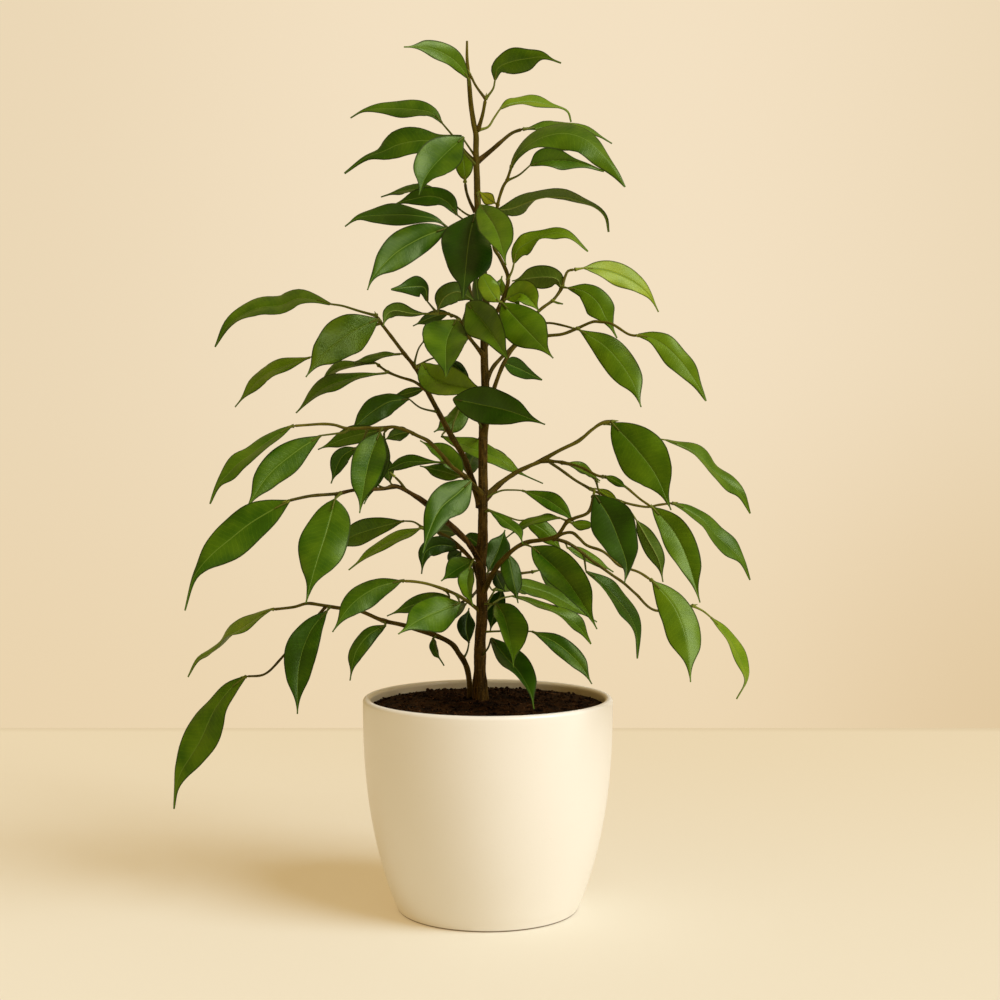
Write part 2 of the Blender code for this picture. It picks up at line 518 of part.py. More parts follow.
# The back branches, which the front of the plant hides from the viewer
BACK_HIGH_STEMS = [
    stem([(485, 345, -1), (480, 326, -18), (472, 300, -38), (468, 275, -58), (470, 252, -74)], (2.6, 1.5)),
]
BACK_HIGH_LEAVES = [
    leaf((472, 300), [(462, 322), (452, 340), (446, 360)], (-46, -80), (12, 12), [(467, 308)]),
    leaf((480, 326), [(484, 322), (494, 333), (502, 346)], (-30, -62), (9, 9)),
    leaf((469, 280), [(474, 262), (482, 242), (492, 222)], (-62, -84), (9, 9)),
    leaf((470, 254), [(468, 248), (462, 262), (462, 284)], (-80, -112), (12, 12)),
    leaf((478, 320), [(508, 314), (524, 328), (540, 346)], (-38, -66), (9, 9), [(494, 312)]),
    leaf((470, 252), [(468, 240), (470, 230), (478, 218)], (-76, -96), (8, 8)),
]
BACK_MIDDLE_STEMS = [
    stem([(483, 436, -2), (486, 424, -24), (494, 411, -48), (506, 405, -72)], (2.6, 1.5)),
    stem([(485, 428, -16), (477, 442, -46), (470, 448, -66)], (1.6, 1.4)),
]
BACK_MIDDLE_LEAVES = [
    leaf((491, 414), [(483, 406), (470, 402), (458, 401)], (-54, -84), (8, 8)),
    leaf((506, 405), [(509, 404), (520, 406), (533, 414)], (-76, -108), (8, 8)),
    leaf((500, 407), [(500, 404), (490, 400), (482, 396)], (-70, -98), (6, 6)),
    leaf((471, 447), [(466, 448), (452, 446), (438, 445)], (-70, -98), (7, 7)),
    leaf((477, 442), [(486, 452), (500, 458), (515, 468)], (-56, -84), (7, 7)),
]
BACK_LEFT_STEMS = [
    stem([(482, 534, 0), (466, 527, -18), (447, 518, -34), (425, 503, -48), (410, 493, -58), (400, 487, -66),
          (384, 488.6, -74), (355, 490, -84), (337, 493.7, -90)], (3.0, 1.6)),
]
BACK_LEFT_LEAVES = [
    leaf((337, 493.7), [(333, 505), (322, 545), (311, 588)], (-92, -118), (15, 16)),
    leaf((384, 488.6), [(376, 484), (368, 466), (374, 440)], (-78, -100), (11, 11)),
    leaf((337, 493.7), [(310, 497), (288, 503), (262, 518), (228, 543), (208, 564)], (-94, -110), (9, 9)),
    leaf((447, 518), [(452, 512), (456, 500), (464, 488)], (-44, -72), (9, 9)),
    leaf((425, 503), [(428, 510), (432, 520), (430, 532)], (-54, -84), (6, 6)),
    leaf((394, 487), [(390, 482), (388, 470), (382, 452)], (-72, -94), (6, 6)),
]
BACK_RIGHT_STEMS = [
    stem([(483, 522, 0), (493, 500, -18), (503, 483, -30), (516, 473, -42), (530, 466, -52), (554, 453, -64),
          (579, 440, -74), (601, 423, -86), (614, 421, -90)], (3.0, 1.5)),
    stem([(543, 459, -59), (562, 463, -68), (580, 468, -76), (596, 480, -82)], (1.6, 1.4)),
]
BACK_RIGHT_LEAVES = [
    leaf((613, 421), [(618, 427), (643, 455), (662, 492)], (-92, -120), (14, 14)),
    leaf((596, 480), [(600, 498), (614, 530), (624, 560)], (-86, -108), (15, 15)),
    leaf((562, 463), [(567, 464), (580, 468), (594, 477)], (-74, -98), (4, 4)),
]
BACK_LOW_STEMS = [
    stem([(482, 588, 0), (486, 578, -22), (496, 572, -42), (512, 574, -62), (532, 572, -80)], (2.8, 1.5)),
    stem([(483, 583, -10), (472, 596, -36), (458, 604, -58), (446, 608, -74)], (1.8, 1.4)),
]
BACK_LOW_LEAVES = [
    leaf((532, 572), [(540, 570), (562, 586), (588, 614)], (-84, -114), (12, 12)),
    leaf((496, 572), [(502, 580), (508, 612), (512, 648)], (-50, -78), (9, 9)),
    leaf((446, 608), [(440, 609), (422, 618), (406, 628)], (-78, -106), (9, 9)),
    leaf((472, 596), [(466, 604), (452, 612), (438, 616)], (-44, -70), (7, 7)),
    leaf((484, 580), [(492, 590), (520, 588), (548, 592)], (-30, -56), (5, 5)),
]

BRANCHES = [
    ("branch_upper_left", UPPER_LEFT_STEMS, UPPER_LEFT_LEAVES),
    ("branch_front_left", FRONT_LEFT_STEMS, FRONT_LEFT_LEAVES),
    ("branch_middle_left", MIDDLE_LEFT_STEMS, MIDDLE_LEFT_LEAVES),
    ("branch_low_left", LOW_LEFT_STEMS, LOW_LEFT_LEAVES),
    ("branch_inner_left", INNER_LEFT_STEMS, INNER_LEFT_LEAVES),
    ("twig_low_left", LOW_TWIG_STEMS, LOW_TWIG_LEAVES),
    ("branch_upper_right", UPPER_RIGHT_STEMS, UPPER_RIGHT_LEAVES),
    ("branch_right_climb", RIGHT_CLIMB_STEMS, RIGHT_CLIMB_LEAVES),
    ("branch_right_reach", RIGHT_REACH_STEMS, RIGHT_REACH_LEAVES),
    ("branch_middle_right", MIDDLE_RIGHT_STEMS, MIDDLE_RIGHT_LEAVES),
    ("branch_low_right", LOW_RIGHT_STEMS, LOW_RIGHT_LEAVES),
    ("branch_back_high", BACK_HIGH_STEMS, BACK_HIGH_LEAVES),
    ("branch_back_middle", BACK_MIDDLE_STEMS, BACK_MIDDLE_LEAVES),
    ("branch_back_left", BACK_LEFT_STEMS, BACK_LEFT_LEAVES),
    ("branch_back_right", BACK_RIGHT_STEMS, BACK_RIGHT_LEAVES),
    ("branch_back_low", BACK_LOW_STEMS, BACK_LOW_LEAVES),
]


def make_material(name, colour, roughness):
    material = bpy.data.materials.new(name)
    material.use_nodes = True
    shader = material.node_tree.nodes["Principled BSDF"]
    shader.inputs["Base Color"].default_value = (*colour, 1.0)
    shader.inputs["Roughness"].default_value = roughness
    shader.inputs["Metallic"].default_value = 0.0
    return material


def apply_boolean(thing, operation, cutter=None, collection=None):
    """Join or cut, make the result the object's own mesh, and remove what was used for it. The exact solver
    leaves open edges where many leaves meet one stem, so the manifold one does all of them."""
    change = thing.modifiers.new("boolean", "BOOLEAN")
    change.operation = operation
    change.solver = "MANIFOLD"
    if collection:
        change.operand_type = "COLLECTION"
        change.collection = collection
    else:
        change.object = cutter
    bpy.context.view_layer.update()
    shape = bpy.context.evaluated_depsgraph_get()
    result = bpy.data.meshes.new_from_object(thing.evaluated_get(shape))
    thing.modifiers.clear()
    thing.data = result
    used = list(collection.objects) if collection else [cutter]
    for item in used:
        bpy.data.objects.remove(item)
    if collection:
        bpy.data.collections.remove(collection)


def fuse(thing, others):
    """Grow the other solids together with this one."""
    group = bpy.data.collections.new(thing.name + "_parts")
    bpy.context.scene.collection.children.link(group)
    for other in others:
        bpy.context.scene.collection.objects.unlink(other)
        group.objects.link(other)
    apply_boolean(thing, "UNION", collection=group)


def stem_tube(name, row, sides, extra=0.0):
    """A stem's tube; extra makes it fatter, for cutting the seat of what touches it."""
    path = smooth_path([place(*point) for point in row["route"]])
    start, end = (0.5 * t * MM + extra for t in row["thick"])
    return tube(name, path, lambda share: start + (end - start) * share ** 0.8, sides)


def trunk_path(extra):
    """The trunk's middle line, carried straight down into the soil."""
    points = [place(*point) for point in TRUNK["route"]]
    bottom = Vector((points[0].x, points[0].y, points[0].z - STEM_DEPTH - extra))
    return [bottom, bottom.lerp(points[0], 0.5)] + smooth_path(points)


def trunk_tube(name, extra):
    """The trunk, with its collar where it enters the soil; extra makes it fatter all over."""
    path = trunk_path(extra)
    buried = (path[2] - path[0]).length / path_length(path)

    def radius_at(share):
        above = max(0.0, (share - buried) / (1 - buried))
        for (a, wide), (b, narrow) in zip(TRUNK_THICKNESS, TRUNK_THICKNESS[1:]):
            if above <= b:
                return 0.5 * MM * (wide + (narrow - wide) * (above - a) / (b - a)) + extra
        return 0.5 * MM * TRUNK_THICKNESS[-1][1] + extra

    return tube(name, path, radius_at, 8, rings=34)


def turned(name, profile):
    """A closed round solid from a profile of (radius, height) that starts and ends on the axis."""
    shape = bmesh.new()
    corners = [shape.verts.new((radius, 0, height)) for radius, height in profile]
    edges = [shape.edges.new(pair) for pair in zip(corners, corners[1:])]
    bmesh.ops.spin(shape, geom=corners + edges, cent=(0, 0, 0), axis=(0, 0, 1), angle=math.tau,
                   steps=ROUND_SIDES, use_merge=True)
    bmesh.ops.remove_doubles(shape, verts=shape.verts, dist=1e-6)
    bmesh.ops.recalc_face_normals(shape, faces=shape.faces)
    mesh = bpy.data.meshes.new(name)
    shape.to_mesh(mesh)
    shape.free()
    thing = bpy.data.objects.new(name, mesh)
    bpy.context.scene.collection.objects.link(thing)
    return thing


def wall_radius(height):
    """The outside of the pot's wall, which swells quickly above the foot and is upright at the mouth."""
    foot, mouth = FOOT_WIDTH / 2, POT_WIDTH / 2
    return foot + (mouth - foot) * (1 - (1 - height / POT_HEIGHT) ** WALL_SWELL)


def make_pot():
    """A turned pot with a flat foot, a rounded lip and an even wall."""
    lip = POT_WALL / 2
    lip_height = POT_HEIGHT - lip
    profile = [(0, 0), (FOOT_WIDTH / 2 - FOOT_EDGE, 0)]
    profile += [(wall_radius(z), z) for z in (FOOT_EDGE, 9 * MM, 20 * MM, 35 * MM, 55 * MM, 80 * MM)]
    profile += [(wall_radius(lip_height) - lip + lip * math.cos(a), lip_height + lip * math.sin(a))
                for a in (math.radians(d) for d in (0, 36, 72, 108, 144, 180))]
    profile += [(wall_radius(z) - POT_WALL, z) for z in (80 * MM, 55 * MM, 35 * MM, 20 * MM)]
    profile += [(wall_radius(POT_FLOOR) - 2 * POT_WALL, POT_FLOOR), (0, POT_FLOOR)]
    return turned("pot", profile)


def make_soil():
    """Potting mix to just below the lip, mounded and crumbly on top, with holes for the two stems."""
    top = POT_HEIGHT - SOIL_DROP
    edge = wall_radius(top) - POT_WALL - SEAT_GAP
    bottom = POT_FLOOR + SEAT_GAP
    profile = [(0, bottom), (wall_radius(POT_FLOOR) - 2 * POT_WALL - SEAT_GAP, bottom)]
    profile += [(wall_radius(z) - POT_WALL - SEAT_GAP, z) for z in (20 * MM, 35 * MM, 55 * MM, 80 * MM)]
    profile += [(edge, top)]
    profile += [(edge * share, top + SOIL_MOUND * (1 - share ** 2)) for share in (0.93, 0.8, 0.6, 0.4, 0.2)]
    profile += [(0, top + SOIL_MOUND)]
    soil = turned("soil", profile)
    draw = random.Random(7)
    for corner in soil.data.vertices:
        reach = math.hypot(corner.co.x, corner.co.y)
        if corner.co.z > top - 0.1 * MM and reach < edge * 0.97:
            corner.co.z += draw.uniform(-CRUMB_HEIGHT, CRUMB_HEIGHT)
    apply_boolean(soil, "DIFFERENCE", cutter=trunk_tube("trunk_hole", SEAT_GAP))
    apply_boolean(soil, "DIFFERENCE", cutter=shoot_tube("shoot_hole", SEAT_GAP))
    return soil


def shoot_tube(name, extra):
    """The shoot's stem, carried straight down into the soil."""
    points = [place(*point) for point in SHOOT_STEMS[0]["route"]]
    bottom = Vector((points[0].x - 1 * MM, points[0].y, points[0].z - SHOOT_DEPTH - extra))
    path = smooth_path([bottom] + points)
    start, end = (0.5 * t * MM + extra for t in SHOOT_STEMS[0]["thick"])
    return tube(name, path, lambda share: start + (end - start) * share, 6)


def grow_node(name, main, stems, leaves):
    """Fuse a main stem with its twigs and its leaves into one solid."""
    routes = [row["route"] for row in stems]
    parts = [stem_tube(f"{name}_twig_{i}", row, 5) for i, row in enumerate(stems[1:])]
    for i, row in enumerate(leaves):
        parts.append(grow_leaf(f"{name}_leaf_{i}", routes, row))
    fuse(main, parts)
    return main


def make_trunk():
    stems = [TRUNK] + LEADER_TWIGS
    return grow_node("trunk", trunk_tube("trunk", 0.0), stems, LEADER_LEAVES + TRUNK_LEAVES)


def make_shoot():
    return grow_node("shoot", shoot_tube("shoot", 0.0), SHOOT_STEMS, SHOOT_LEAVES)


def make_branch(name, stems, leaves):
    """A branch whose foot is seated on the trunk's bark."""
    main = stem_tube(name, stems[0], 6)
    apply_boolean(main, "DIFFERENCE", cutter=trunk_tube("seat", SEAT_GAP))
    return grow_node(name, main, stems, leaves)


def finish(thing, material):
    """Clean small scraps off the mesh, split it into triangles, and give it its material."""
    shape = bmesh.new()
    shape.from_mesh(thing.data)
    bmesh.ops.remove_doubles(shape, verts=shape.verts, dist=2e-6)
    bmesh.ops.dissolve_degenerate(shape, edges=shape.edges, dist=2e-6)
    bmesh.ops.triangulate(shape, faces=shape.faces)
    shape.to_mesh(thing.data)
    shape.free()
    thing.data.materials.clear()
    thing.data.materials.append(material)
    thing.data.shade_smooth()
    thing.data.set_sharp_from_angle(angle=math.radians(35))


for old in list(bpy.data.objects):
    bpy.data.objects.remove(old)

CERAMIC = make_material("cream_glaze", (0.86, 0.80, 0.68), 0.35)
EARTH = make_material("potting_mix", (0.035, 0.018, 0.010), 0.95)
FOLIAGE = make_material("leaf_green", (0.045, 0.13, 0.012), 0.35)

finish(make_pot(), CERAMIC)
finish(make_soil(), EARTH)
finish(make_trunk(), FOLIAGE)
finish(make_shoot(), FOLIAGE)
for branch_name, branch_stems, branch_leaves in BRANCHES:
    finish(make_branch(branch_name, branch_stems, branch_leaves), FOLIAGE)
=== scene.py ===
"""A young weeping fig in a cream cover pot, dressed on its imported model.

The pot and its soil come first, then the trunk, the shoot and the branches with their leaves, and last the
room. A place on the plant is (across, down, near): pixels across and down in the 1000 pixel square view from
the front, and millimetres towards the viewer from the plane through the trunk.
"""
import math
import random
from collections import namedtuple
from itertools import accumulate

import bmesh
import bpy
from mathutils import Matrix, Vector, noise


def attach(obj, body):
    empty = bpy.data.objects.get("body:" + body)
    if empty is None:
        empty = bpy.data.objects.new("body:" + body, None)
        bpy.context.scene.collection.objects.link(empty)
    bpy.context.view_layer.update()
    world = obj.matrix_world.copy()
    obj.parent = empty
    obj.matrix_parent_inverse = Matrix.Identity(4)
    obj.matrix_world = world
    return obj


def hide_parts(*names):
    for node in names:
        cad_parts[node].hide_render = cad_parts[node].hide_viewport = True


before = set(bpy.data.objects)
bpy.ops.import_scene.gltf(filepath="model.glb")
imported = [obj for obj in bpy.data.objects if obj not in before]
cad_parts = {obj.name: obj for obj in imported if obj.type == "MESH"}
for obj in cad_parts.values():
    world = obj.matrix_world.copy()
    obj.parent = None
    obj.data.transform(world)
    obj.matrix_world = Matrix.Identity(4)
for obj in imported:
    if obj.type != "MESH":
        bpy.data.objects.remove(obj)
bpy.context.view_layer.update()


# The cover pot: one piece of slip-cast earthenware, 14 cm wide, with a cream satin glaze inside and out. Its
# wall swells quickly above a flat foot and stands upright at a lip that is rounded over. The foot is bare,
# and its lowest millimetre is painted dark as the shadow where it stands on the floor. The inner wall near
# the top has painted shade, and the top of the lip a painted highlight.

MM = 0.001
POT_HEIGHT = 119 * MM
POT_WIDTH = 140 * MM
FOOT_WIDTH = 101.6 * MM
FOOT_EDGE = 1.2 * MM
FOOT_RIM = 3 * MM
POT_WALL = 4.4 * MM
POT_FLOOR = 6 * MM
FLOOR_ROUNDING = 6 * MM
WALL_SWELL = 2.5
POT_SIDES = 160
WALL_LEVELS = 34


def maths(operation, swapped=False):
    """A method that puts a shader value, and the other operand if it has one, through a maths node."""
    def method(value, other=0.0):
        first, second = (other, value) if swapped else (value, other)
        return value.shading.node("ShaderNodeMath", {"operation": operation}, {0: first, 1: second})
    return method


class Wire:
    """A shader value that Python's own operators build on."""

    def __init__(self, shading, socket):
        self.shading, self.socket = shading, socket

    __add__, __radd__ = maths("ADD"), maths("ADD", swapped=True)
    __sub__, __rsub__ = maths("SUBTRACT"), maths("SUBTRACT", swapped=True)
    __mul__, __rmul__ = maths("MULTIPLY"), maths("MULTIPLY", swapped=True)
    __truediv__, __abs__, fraction = maths("DIVIDE"), maths("ABSOLUTE"), maths("FRACT")


class Shading:
    """A tree of shader nodes under construction."""

    def __init__(self, tree):
        self.tree = tree

    def node(self, kind, settings=None, sockets=None, output=0):
        """Any node: its settings are made first, then its sockets get their values or links."""
        made = self.tree.nodes.new(kind)
        for label, value in (settings or {}).items():
            if label == "stops":
                stops = made.color_ramp.elements
                while len(stops) < len(value):
                    stops.new(0.5)
                for stop, (position, colour) in zip(stops, value):
                    stop.position, stop.color = position, (*colour, 1.0)
            else:
                setattr(made, label, value)
        for label, value in (sockets or {}).items():
            if isinstance(value, Wire):
                self.tree.links.new(value.socket, made.inputs[label])
            else:
                made.inputs[label].default_value = value
        return Wire(self, made.outputs[output])

    def mix(self, share, first, second):
        """From one colour to another."""
        first, second = (c if isinstance(c, Wire) else (*c, 1.0) for c in (first, second))
        return self.node("ShaderNodeMix", {"data_type": "RGBA", "clamp_factor": True},
                         {0: share, 6: first, 7: second}, output=2)

    def ramp(self, value, low, high, start=0.0, end=1.0):
        """A soft step: start where the value is low, end where it is high."""
        return self.node("ShaderNodeMapRange", {"interpolation_type": "SMOOTHSTEP"},
                         {"Value": value, "From Min": low, "From Max": high, "To Min": start, "To Max": end})

    def parts(self, vector):
        """A vector's three numbers."""
        split = self.node("ShaderNodeSeparateXYZ", None, {0: vector}).socket.node
        return [Wire(self, socket) for socket in split.outputs]

    def spot(self):
        """The place on the object, in metres."""
        return self.node("ShaderNodeTexCoord", output="Object")

    def mark(self, label):
        """The vector that a mesh carries at its corners under a label."""
        return self.node("ShaderNodeAttribute", {"attribute_name": label}, output="Vector")

    def grain(self, scale, detail=2.0, at=None, stretch=None):
        """Noise from 0 to 1, by the metre on the object, or on a marked vector."""
        at = at or self.spot()
        if stretch:
            at = self.node("ShaderNodeVectorMath", {"operation": "MULTIPLY"}, {0: at, 1: stretch})
        return self.node("ShaderNodeTexNoise", None, {"Vector": at, "Scale": scale, "Detail": detail})


class Finish(Shading):
    """A material: the shading that feeds one surface shader, whose other sockets are fixed."""

    def __init__(self, name, **fixed):
        self.material = bpy.data.materials.new(name)
        self.material.use_nodes = True
        super().__init__(self.material.node_tree)
        self.shader = self.tree.nodes["Principled BSDF"]
        for label, value in fixed.items():
            self.shader.inputs[label.replace("_", " ")].default_value = value

    def feed(self, label, wire):
        self.tree.links.new(wire.socket, self.shader.inputs[label])

    def bump(self, height, distance, strength=1.0):
        self.feed("Normal", self.node("ShaderNodeBump", None,
                                      {"Height": height, "Distance": distance, "Strength": strength}))


def put(name, data):
    """An object in the scene, from its mesh, its lamp or its lens."""
    thing = bpy.data.objects.new(name, data)
    bpy.context.scene.collection.objects.link(thing)
    return thing


class Shape:
    """The mesh of one piece as it is gathered, with marks at its corners for its finish to read."""

    def __init__(self, *marks):
        self.vertices, self.faces = [], []
        self.marks = {label: [] for label in marks}

    def corner(self, point, *values):
        self.vertices.append(tuple(point))
        for row, value in zip(self.marks.values(), values):
            row.append(value)
        return len(self.vertices) - 1

    def weave(self, rows, closed):
        """Faces between rows of corners; closed where each row is a ring."""
        for low, high in zip(rows, rows[1:]):
            for i in range(len(low) if closed else len(low) - 1):
                j = (i + 1) % len(low)
                self.faces.append((low[i], low[j], high[j], high[i]))

    def tube(self, rings):
        """Faces between rings of corners, and one at each end."""
        self.weave(rings, closed=True)
        self.faces += [tuple(reversed(rings[0])), tuple(rings[-1])]

    def make(self, name):
        mesh = bpy.data.meshes.new(name)
        mesh.from_pydata(self.vertices, [], self.faces)
        for label, values in self.marks.items():
            mark = mesh.attributes.new(label, "FLOAT_VECTOR", "POINT")
            mark.data.foreach_set("vector", [part for value in values for part in value])
        shape = bmesh.new()
        shape.from_mesh(mesh)
        bmesh.ops.recalc_face_normals(shape, faces=shape.faces)
        shape.to_mesh(mesh)
        shape.free()
        return put(name, mesh)


def dress(thing, finish, node, sharp):
    """Smooth a piece, give it its finish, hang it on the root, and hide the model's part that it stands for.
    """
    thing.data.materials.append(finish.material)
    thing.data.shade_smooth()
    thing.data.set_sharp_from_angle(angle=math.radians(sharp))
    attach(thing, "root")
    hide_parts(node)


def around(radius, count):
    """Places round the axis, at a radius."""
    turns = [math.tau * i / count for i in range(count)]
    return [(radius * math.cos(turn), radius * math.sin(turn)) for turn in turns]


def arc(across, up, reach, degrees):
    """A rounding on the pot's profile, by its centre, its radius and its angles."""
    turns = [math.radians(angle) for angle in degrees]
    return [(across + reach * math.cos(turn), up + reach * math.sin(turn)) for turn in turns]


def wall_radius(height):
    """The outside of the pot's wall."""
    foot, mouth = FOOT_WIDTH / 2, POT_WIDTH / 2
    return foot + (mouth - foot) * (1 - (1 - height / POT_HEIGHT) ** WALL_SWELL)


def pot_profile():
    """(radius, height) up the outside from under the foot, over the lip and down the inside to the floor."""
    lip = POT_WALL / 2
    top, bottom = POT_HEIGHT - lip, POT_FLOOR + FLOOR_ROUNDING
    profile = [(FOOT_WIDTH / 2 - FOOT_RIM, 0)]
    profile += arc(FOOT_WIDTH / 2 - FOOT_EDGE, FOOT_EDGE, FOOT_EDGE, (-90, -60, -30, 0))
    for i in range(1, WALL_LEVELS + 1):
        z = FOOT_EDGE + (top - FOOT_EDGE) * i / WALL_LEVELS
        profile.append((wall_radius(z), z))
    profile += arc(wall_radius(top) - lip, top, lip, range(15, 181, 15))
    for i in range(1, WALL_LEVELS):
        z = top - (top - bottom) * i / WALL_LEVELS
        profile.append((wall_radius(z) - POT_WALL, z))
    inside = wall_radius(bottom) - POT_WALL
    return profile + arc(inside - FLOOR_ROUNDING, bottom, FLOOR_ROUNDING, range(-15, -91, -15))


glaze = Finish("cream satin glaze", Coat_Weight=0.18, Coat_Roughness=0.22)
height = glaze.parts(glaze.spot())[2]
level = glaze.node("ShaderNodeVectorMath", {"operation": "MULTIPLY"}, {0: glaze.spot(), 1: (1.0, 1.0, 0.0)})
radius = glaze.node("ShaderNodeVectorMath", {"operation": "LENGTH"}, {0: level}, output="Value")
cloud = glaze.grain(16.0, 3.0)
speck = glaze.ramp(glaze.grain(900.0, 1.0), 0.70, 0.80)
cream = glaze.mix(cloud, (0.815, 0.775, 0.690), (0.850, 0.812, 0.735))
cream = glaze.mix(speck * 0.10, cream, (0.60, 0.50, 0.36))
# Painted highlight: the top of the lip is painted a lighter cream.
painted_lip_highlight = glaze.ramp(height, POT_HEIGHT - 1.2 * MM, POT_HEIGHT + 0.5 * MM, 0.0, 0.35)
cream = glaze.mix(painted_lip_highlight, cream, (0.90, 0.86, 0.77))
inner = POT_WIDTH / 2 - POT_WALL
# Painted shade: the inner wall near the top of the pot is painted a darker khaki.
inside = glaze.ramp(radius, inner + 0.6 * MM, inner + 2.6 * MM, 1.0, 0.0)
inside = inside * glaze.ramp(height, 85 * MM, 95 * MM)
cream = glaze.mix(inside * 0.85, cream, (0.62, 0.50, 0.29))
# The bare foot: its lowest millimetre is rougher and painted dark brown, partly unglazed clay and partly
# painted shadow where the pot meets the floor.
bare_foot_and_shadow = glaze.ramp(height, 0.5 * MM, 1.1 * MM, 1.0, 0.0)
glaze.feed("Base Color", glaze.mix(bare_foot_and_shadow, cream, (0.130, 0.095, 0.045)))
glaze.feed("Roughness", 0.34 + cloud * 0.08 + bare_foot_and_shadow * 0.4)
glaze.bump(glaze.grain(60.0, 2.0) + 0.25 * glaze.grain(520.0, 2.0), 0.10 * MM)

pot = Shape()
pot.tube([[pot.corner((x, y, z)) for x, y in around(radius, POT_SIDES)] for radius, z in pot_profile()])
dress(pot.make("cover_pot"), glaze, "pot", sharp=50)


# The potting mix: dark moist peat with bark fibre, filled to just under the lip and mounded at the stems.
# Its top is rough with crumbs, and larger clods and chips of bark lie loose on it, as after watering.

SOIL_TOP = POT_HEIGHT - 5 * MM
SOIL_GAP = 0.3 * MM
SOIL_EDGE = wall_radius(SOIL_TOP) - POT_WALL - SOIL_GAP
SOIL_MOUND = 3 * MM
SOIL_LEVELS = (95 * MM, 70 * MM, 45 * MM, 25 * MM)
SOIL_RINGS = 84
SOIL_SECTORS = 210
CLODS = 1500
CHIPS = 60
ROUNDER_ABOVE = 0.9 * MM


def soil_height(x, y):
    """The top of the soil, with its mound, dips and crumbs."""
    share = min(1.0, math.hypot(x, y) / SOIL_EDGE)
    rough = noise.noise(Vector((x, y, 0.3)) * 70) * 1.0
    rough += noise.noise(Vector((x, y, 1.7)) * 260) * 0.6
    rough += abs(noise.noise(Vector((x, y, 4.1)) * 620)) * 0.7
    return SOIL_TOP + SOIL_MOUND * (1 - share ** 2) + rough * MM * (1 - share ** 8)


def soil_body():
    """The rough top, its rim against the wall, and the plain sides and underside."""
    soil, rings = Shape(), []
    middle = soil.corner((0, 0, soil_height(0, 0)))
    for i in range(1, SOIL_RINGS + 1):
        share = (i / SOIL_RINGS) ** 0.9
        turns = [math.tau * (s + 0.5 * share * SOIL_RINGS % 1) / SOIL_SECTORS for s in range(SOIL_SECTORS)]
        places = [(SOIL_EDGE * share * math.cos(turn), SOIL_EDGE * share * math.sin(turn)) for turn in turns]
        rings.append([soil.corner((x, y, soil_height(x, y))) for x, y in places])
    sides = [(wall_radius(z) - POT_WALL - SOIL_GAP, z) for z in SOIL_LEVELS]
    sides.append((wall_radius(POT_FLOOR) - 2 * POT_WALL - SOIL_GAP, POT_FLOOR + SOIL_GAP))
    for radius, z in sides:
        rings.append([soil.corner((x, y, z)) for x, y in around(radius, SOIL_SECTORS)])
    soil.weave(rings, closed=True)
    soil.faces += [(middle, a, b) for a, b in zip(rings[0], rings[0][1:] + rings[0][:1])]
    soil.faces.append(tuple(reversed(rings[-1])))
    return soil.make("potting_mix")


def scatter_clods(name, count, sizes, flatness, seed):
    """Loose crumbs on the soil: small rounded lumps of uneven size, sunk a little where they lie."""
    draw = random.Random(seed)
    shape = bmesh.new()
    for _ in range(count):
        size = (sizes[0] + (sizes[1] - sizes[0]) * draw.random() ** 2.6) * MM
        reach = (SOIL_EDGE - size * 1.3) * draw.random() ** 0.5
        turn = draw.uniform(0, math.tau)
        x, y = reach * math.cos(turn), reach * math.sin(turn)
        squash = [draw.uniform(0.7, 1.3), draw.uniform(0.6, 1.1), flatness * draw.uniform(0.7, 1.2)]
        splits = 2 if size > ROUNDER_ABOVE else 1
        lump = bmesh.ops.create_icosphere(shape, subdivisions=splits, radius=size)
        spin, lean = Matrix.Rotation(draw.uniform(0, math.tau), 3, "Z"), draw.uniform(-0.5, 0.5)
        centre = Vector((x, y, soil_height(x, y) + size * flatness * 0.35))
        offset = Vector((draw.random(), draw.random(), draw.random())) * 9
        for corner in lump["verts"]:
            bend = 1 + 0.42 * noise.noise(corner.co / size * 1.3 + offset)
            spot = Vector([c * s * bend for c, s in zip(corner.co, squash)])
            spot.z += spot.x * lean
            corner.co = centre + spin @ spot
    mesh = bpy.data.meshes.new(name)
    shape.to_mesh(mesh)
    shape.free()
    return put(name, mesh)


def earth_finish(name, dark, brown, red):
    """Moist peat: nearly black in its pits, brown on its crumbs, with reddish fibre here and there."""
    earth = Finish(name, Roughness=0.92, Specular_IOR_Level=0.05)
    coarse, fine = earth.grain(140.0, 4.0), earth.grain(900.0, 3.0)
    colour = earth.mix(earth.ramp(coarse, 0.38, 0.64), dark, brown)
    earth.feed("Base Color", earth.mix(earth.ramp(fine, 0.60, 0.72), colour, red))
    earth.bump(coarse * 0.6 + fine, 0.9 * MM, 0.8)
    return earth


peat = earth_finish("moist peat", (0.0040, 0.0014, 0.0002), (0.025, 0.0098, 0.0021), (0.125, 0.050, 0.015))
chip_bark = earth_finish("bark chips", (0.026, 0.011, 0.004), (0.070, 0.031, 0.010), (0.150, 0.070, 0.026))
dress(soil_body(), peat, "soil", sharp=80)
crumbs = scatter_clods("soil_crumbs", CLODS, sizes=(0.28, 1.25), flatness=0.75, seed=11)
chips = scatter_clods("bark_chips", CHIPS, sizes=(0.5, 1.5), flatness=0.38, seed=23)
dress(crumbs, peat, "soil", sharp=60)
dress(chips, chip_bark, "soil", sharp=40)


# The trunk: one woody stem, 10 mm thick at its collar and drawn out to a thin green leader. Its bark is grey
# brown with fine fissures, pale pores and a ring at each old leaf scar, and it goes down into the soil.

